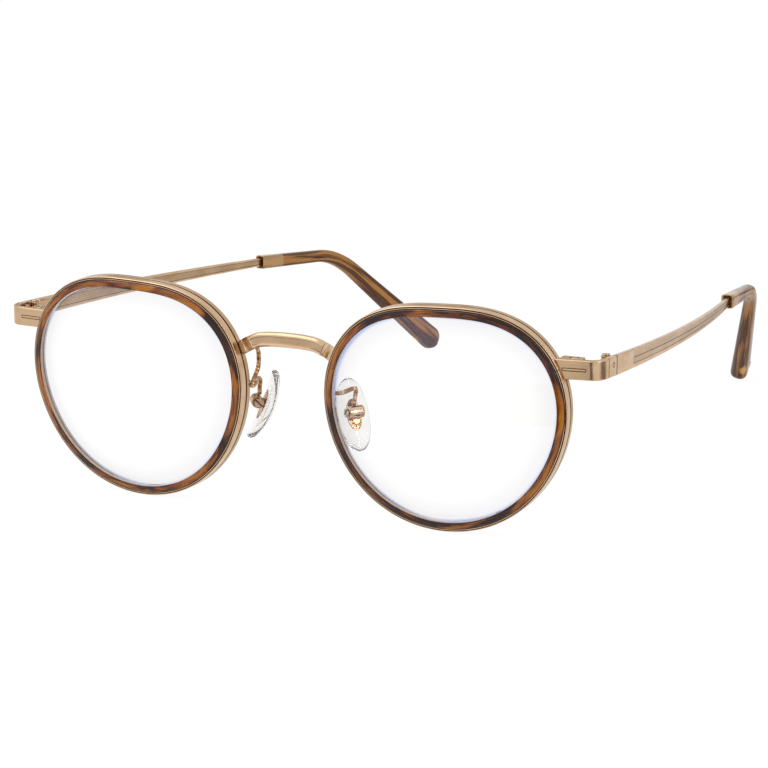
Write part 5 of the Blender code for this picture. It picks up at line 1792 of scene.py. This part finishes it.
def white_studio():
    """The surroundings: a soft light on the object, and white wherever they are seen."""
    stage = bpy.context.scene.eyeglass_stage
    world = bpy.data.worlds.new("white studio")
    world.use_nodes = True
    tree = world.node_tree
    tree.nodes.clear()
    soft, white = (
        add_node(tree, "ShaderNodeBackground", {"Color": opaque(stage.floor), "Strength": strength})
        for strength in (stage.sky, 1.0)
    )
    mixed = add_node(tree, "ShaderNodeMixShader", {0: seen_rays(tree), 1: soft, 2: white})
    add_node(tree, "ShaderNodeOutputWorld", {"Surface": mixed})
    return world


def lying(x, y, height):
    """A place flat over the floor, facing up."""
    return Matrix.Translation((x, y, height))


def facing(spot, target):
    """A place at a spot, with its -Z towards a target."""
    turn = (Vector(target) - Vector(spot)).to_track_quat("-Z", "Y")
    return Matrix.Translation(spot) @ turn.to_matrix().to_4x4()


def add_area_lamp(name, power, width, height, spot, target):
    """A soft oval lamp at a spot, which shines at a target."""
    lamp = bpy.data.lights.new(name, "AREA")
    lamp.shape = "ELLIPSE"
    lamp.energy = power
    lamp.size = width
    lamp.size_y = height
    holder = bpy.data.objects.new(name, lamp)
    holder.matrix_world = facing(spot, target)
    bpy.context.scene.collection.objects.link(holder)


def add_stage_mesh(name, rings, material, place):
    """A flat stage piece from rings of points in metres round its middle."""
    shape = bmesh.new()
    verts = [[shape.verts.new(point) for point in ring] for ring in rings]
    shape.faces.new(verts[0])
    for inner, outer in zip(verts, verts[1:]):
        for i in range(len(inner)):
            j = (i + 1) % len(inner)
            shape.faces.new((inner[i], outer[i], outer[j], inner[j]))
    mesh = bpy.data.meshes.new(name)
    shape.to_mesh(mesh)
    shape.free()
    mesh.materials.append(material)
    piece = bpy.data.objects.new(name, mesh)
    piece.matrix_world = place
    bpy.context.scene.collection.objects.link(piece)
    return piece


def add_camera():
    """The photograph's view: from the front, a little from the right and from above, with a long lens."""
    forward = Vector(VIEW_FORWARD).normalized()
    right = forward.cross(Vector(VIEW_UP).normalized()).normalized()
    turn = Matrix((right, right.cross(forward), -forward)).transposed().to_4x4()
    lean = Matrix.Rotation(-VIEW_LEAN, 4, "X")
    place = lean @ Matrix.Translation(Vector(VIEW_SPOT) * MM) @ turn
    camera = bpy.data.cameras.new("camera")
    camera.sensor_width = SENSOR_WIDTH
    camera.lens = SENSOR_WIDTH * VIEW_FOCAL_PIXELS / VIEW_PIXELS
    camera.clip_start = 0.01
    holder = bpy.data.objects.new("camera", camera)
    holder.matrix_world = front_place() @ Matrix.Scale(1 / MM, 4) @ place
    bpy.context.scene.collection.objects.link(holder)
    bpy.context.scene.camera = holder


class EYEGLASSES_OT_stage(bpy.types.Operator):
    """Sets up the pale floor, the white surroundings, the lamps, the dark cards and the camera"""

    bl_idname = "eyeglasses.stage"
    bl_label = "Stage"

    def execute(self, context):
        stage = context.scene.eyeglass_stage
        context.scene.world = white_studio()
        rings = [
            [Vector((radius * math.cos(t), radius * math.sin(t), 0)) for t in full_turn(96)]
            for radius in (0.3, 1.0, 4.0)
        ]
        # a hair under the object
        add_stage_mesh("floor", rings, pale_floor(), lying(0, 0, -0.0001))

        middle = (0, -0.02, 0.02)
        add_area_lamp("key", stage.key, 0.72, 0.72, (-0.35, -0.35, 0.6), middle)
        add_area_lamp("fill", stage.fill, 0.04, 0.6, (0.6, -0.3, 0.35), middle)

        # cards that only metal and gloss see: they give the bright metal its dark lines
        black, grey = studio_card("black_card", "#402818"), studio_card("grey_card", "#E1DCD7")
        brown, beige = studio_card("brown_card", "#7C7976"), studio_card("beige_card", "#B0A08C")
        for name, paper, place, width, height in (
            ("card_behind_camera", grey, facing((0.25, -0.9, 0.35), middle), 1.0, 0.5),
            ("card_end_front", black, lying(0.0695, -0.22, 0.0006), 0.051, 0.16),
            ("card_end_side", black, lying(0.22, -0.055, 0.0006), 0.12, 0.12),
            ("card_back_floor", grey, lying(-0.01, 0.13, 0.0004), 0.2, 0.1),
            ("card_far_floor", brown, lying(-0.09, 0.26, 0.0004), 0.36, 0.16),
            ("card_behind", beige, facing((-0.4, 0.9, 0.315), middle), 1.3, 0.15),
        ):
            ring = [Vector((a * width / 2, b * height / 2, 0)) for a, b in CORNERS]
            card = add_stage_mesh(name, [ring], paper, place)
            card.visible_camera = card.visible_diffuse = False
            card.visible_transmission = card.visible_shadow = False

        context.scene.view_settings.view_transform = "Standard"
        add_camera()
        return {"FINISHED"}


# The panel and the run


class EYEGLASSES_PT_pieces(bpy.types.Panel):
    """Lists the settings, and under them one button for each group of pieces and one for the stage"""

    bl_label = "Round Eyeglasses"
    bl_idname = "EYEGLASSES_PT_pieces"
    bl_space_type = "VIEW_3D"
    bl_region_type = "UI"
    bl_category = "Eyeglasses"

    def draw(self, context):
        layout = self.layout
        for settings, heading in SETTINGS.items():
            box = layout.box()
            box.label(text=heading)
            group = getattr(context.scene, settings)
            for name in group.bl_rna.properties.keys():
                if name not in ("rna_type", "name"):
                    box.prop(group, name)
        for piece in PIECES:
            layout.operator(piece.bl_idname)


SETTINGS = {
    "eyeglass_metal": "Metal",
    "eyeglass_acetate": "Acetate",
    "eyeglass_clear": "Lenses and pads",
    "eyeglass_stage": "Stage",
}
GROUPS = (MetalSettings, AcetateSettings, ClearSettings, StageSettings)
PIECES = (
    EYEGLASSES_OT_eyewires,
    EYEGLASSES_OT_acetate_rings,
    EYEGLASSES_OT_lenses,
    EYEGLASSES_OT_bridge,
    EYEGLASSES_OT_end_pieces,
    EYEGLASSES_OT_closing_blocks,
    EYEGLASSES_OT_hinges,
    EYEGLASSES_OT_temples,
    EYEGLASSES_OT_ear_tips,
    EYEGLASSES_OT_pad_arms,
    EYEGLASSES_OT_pad_boxes,
    EYEGLASSES_OT_nose_pads,
    EYEGLASSES_OT_stage,
)


def register():
    for kind in (*GROUPS, *PIECES, EYEGLASSES_PT_pieces):
        bpy.utils.register_class(kind)
    for settings, group in zip(SETTINGS, GROUPS):
        setattr(bpy.types.Scene, settings, bpy.props.PointerProperty(type=group))


def unregister():
    for settings in SETTINGS:
        delattr(bpy.types.Scene, settings)
    for kind in reversed((*GROUPS, *PIECES, EYEGLASSES_PT_pieces)):
        bpy.utils.unregister_class(kind)


def main():
    register()
    bpy.ops.eyeglasses.eyewires()
    bpy.ops.eyeglasses.acetate_rings()
    bpy.ops.eyeglasses.lenses()
    bpy.ops.eyeglasses.bridge()
    bpy.ops.eyeglasses.end_pieces()
    bpy.ops.eyeglasses.closing_blocks()
    bpy.ops.eyeglasses.hinges()
    bpy.ops.eyeglasses.temples()
    bpy.ops.eyeglasses.ear_tips()
    bpy.ops.eyeglasses.pad_arms()
    bpy.ops.eyeglasses.pad_boxes()
    bpy.ops.eyeglasses.nose_pads()
    bpy.ops.eyeglasses.stage()


if __name__ == "__main__":
    main()
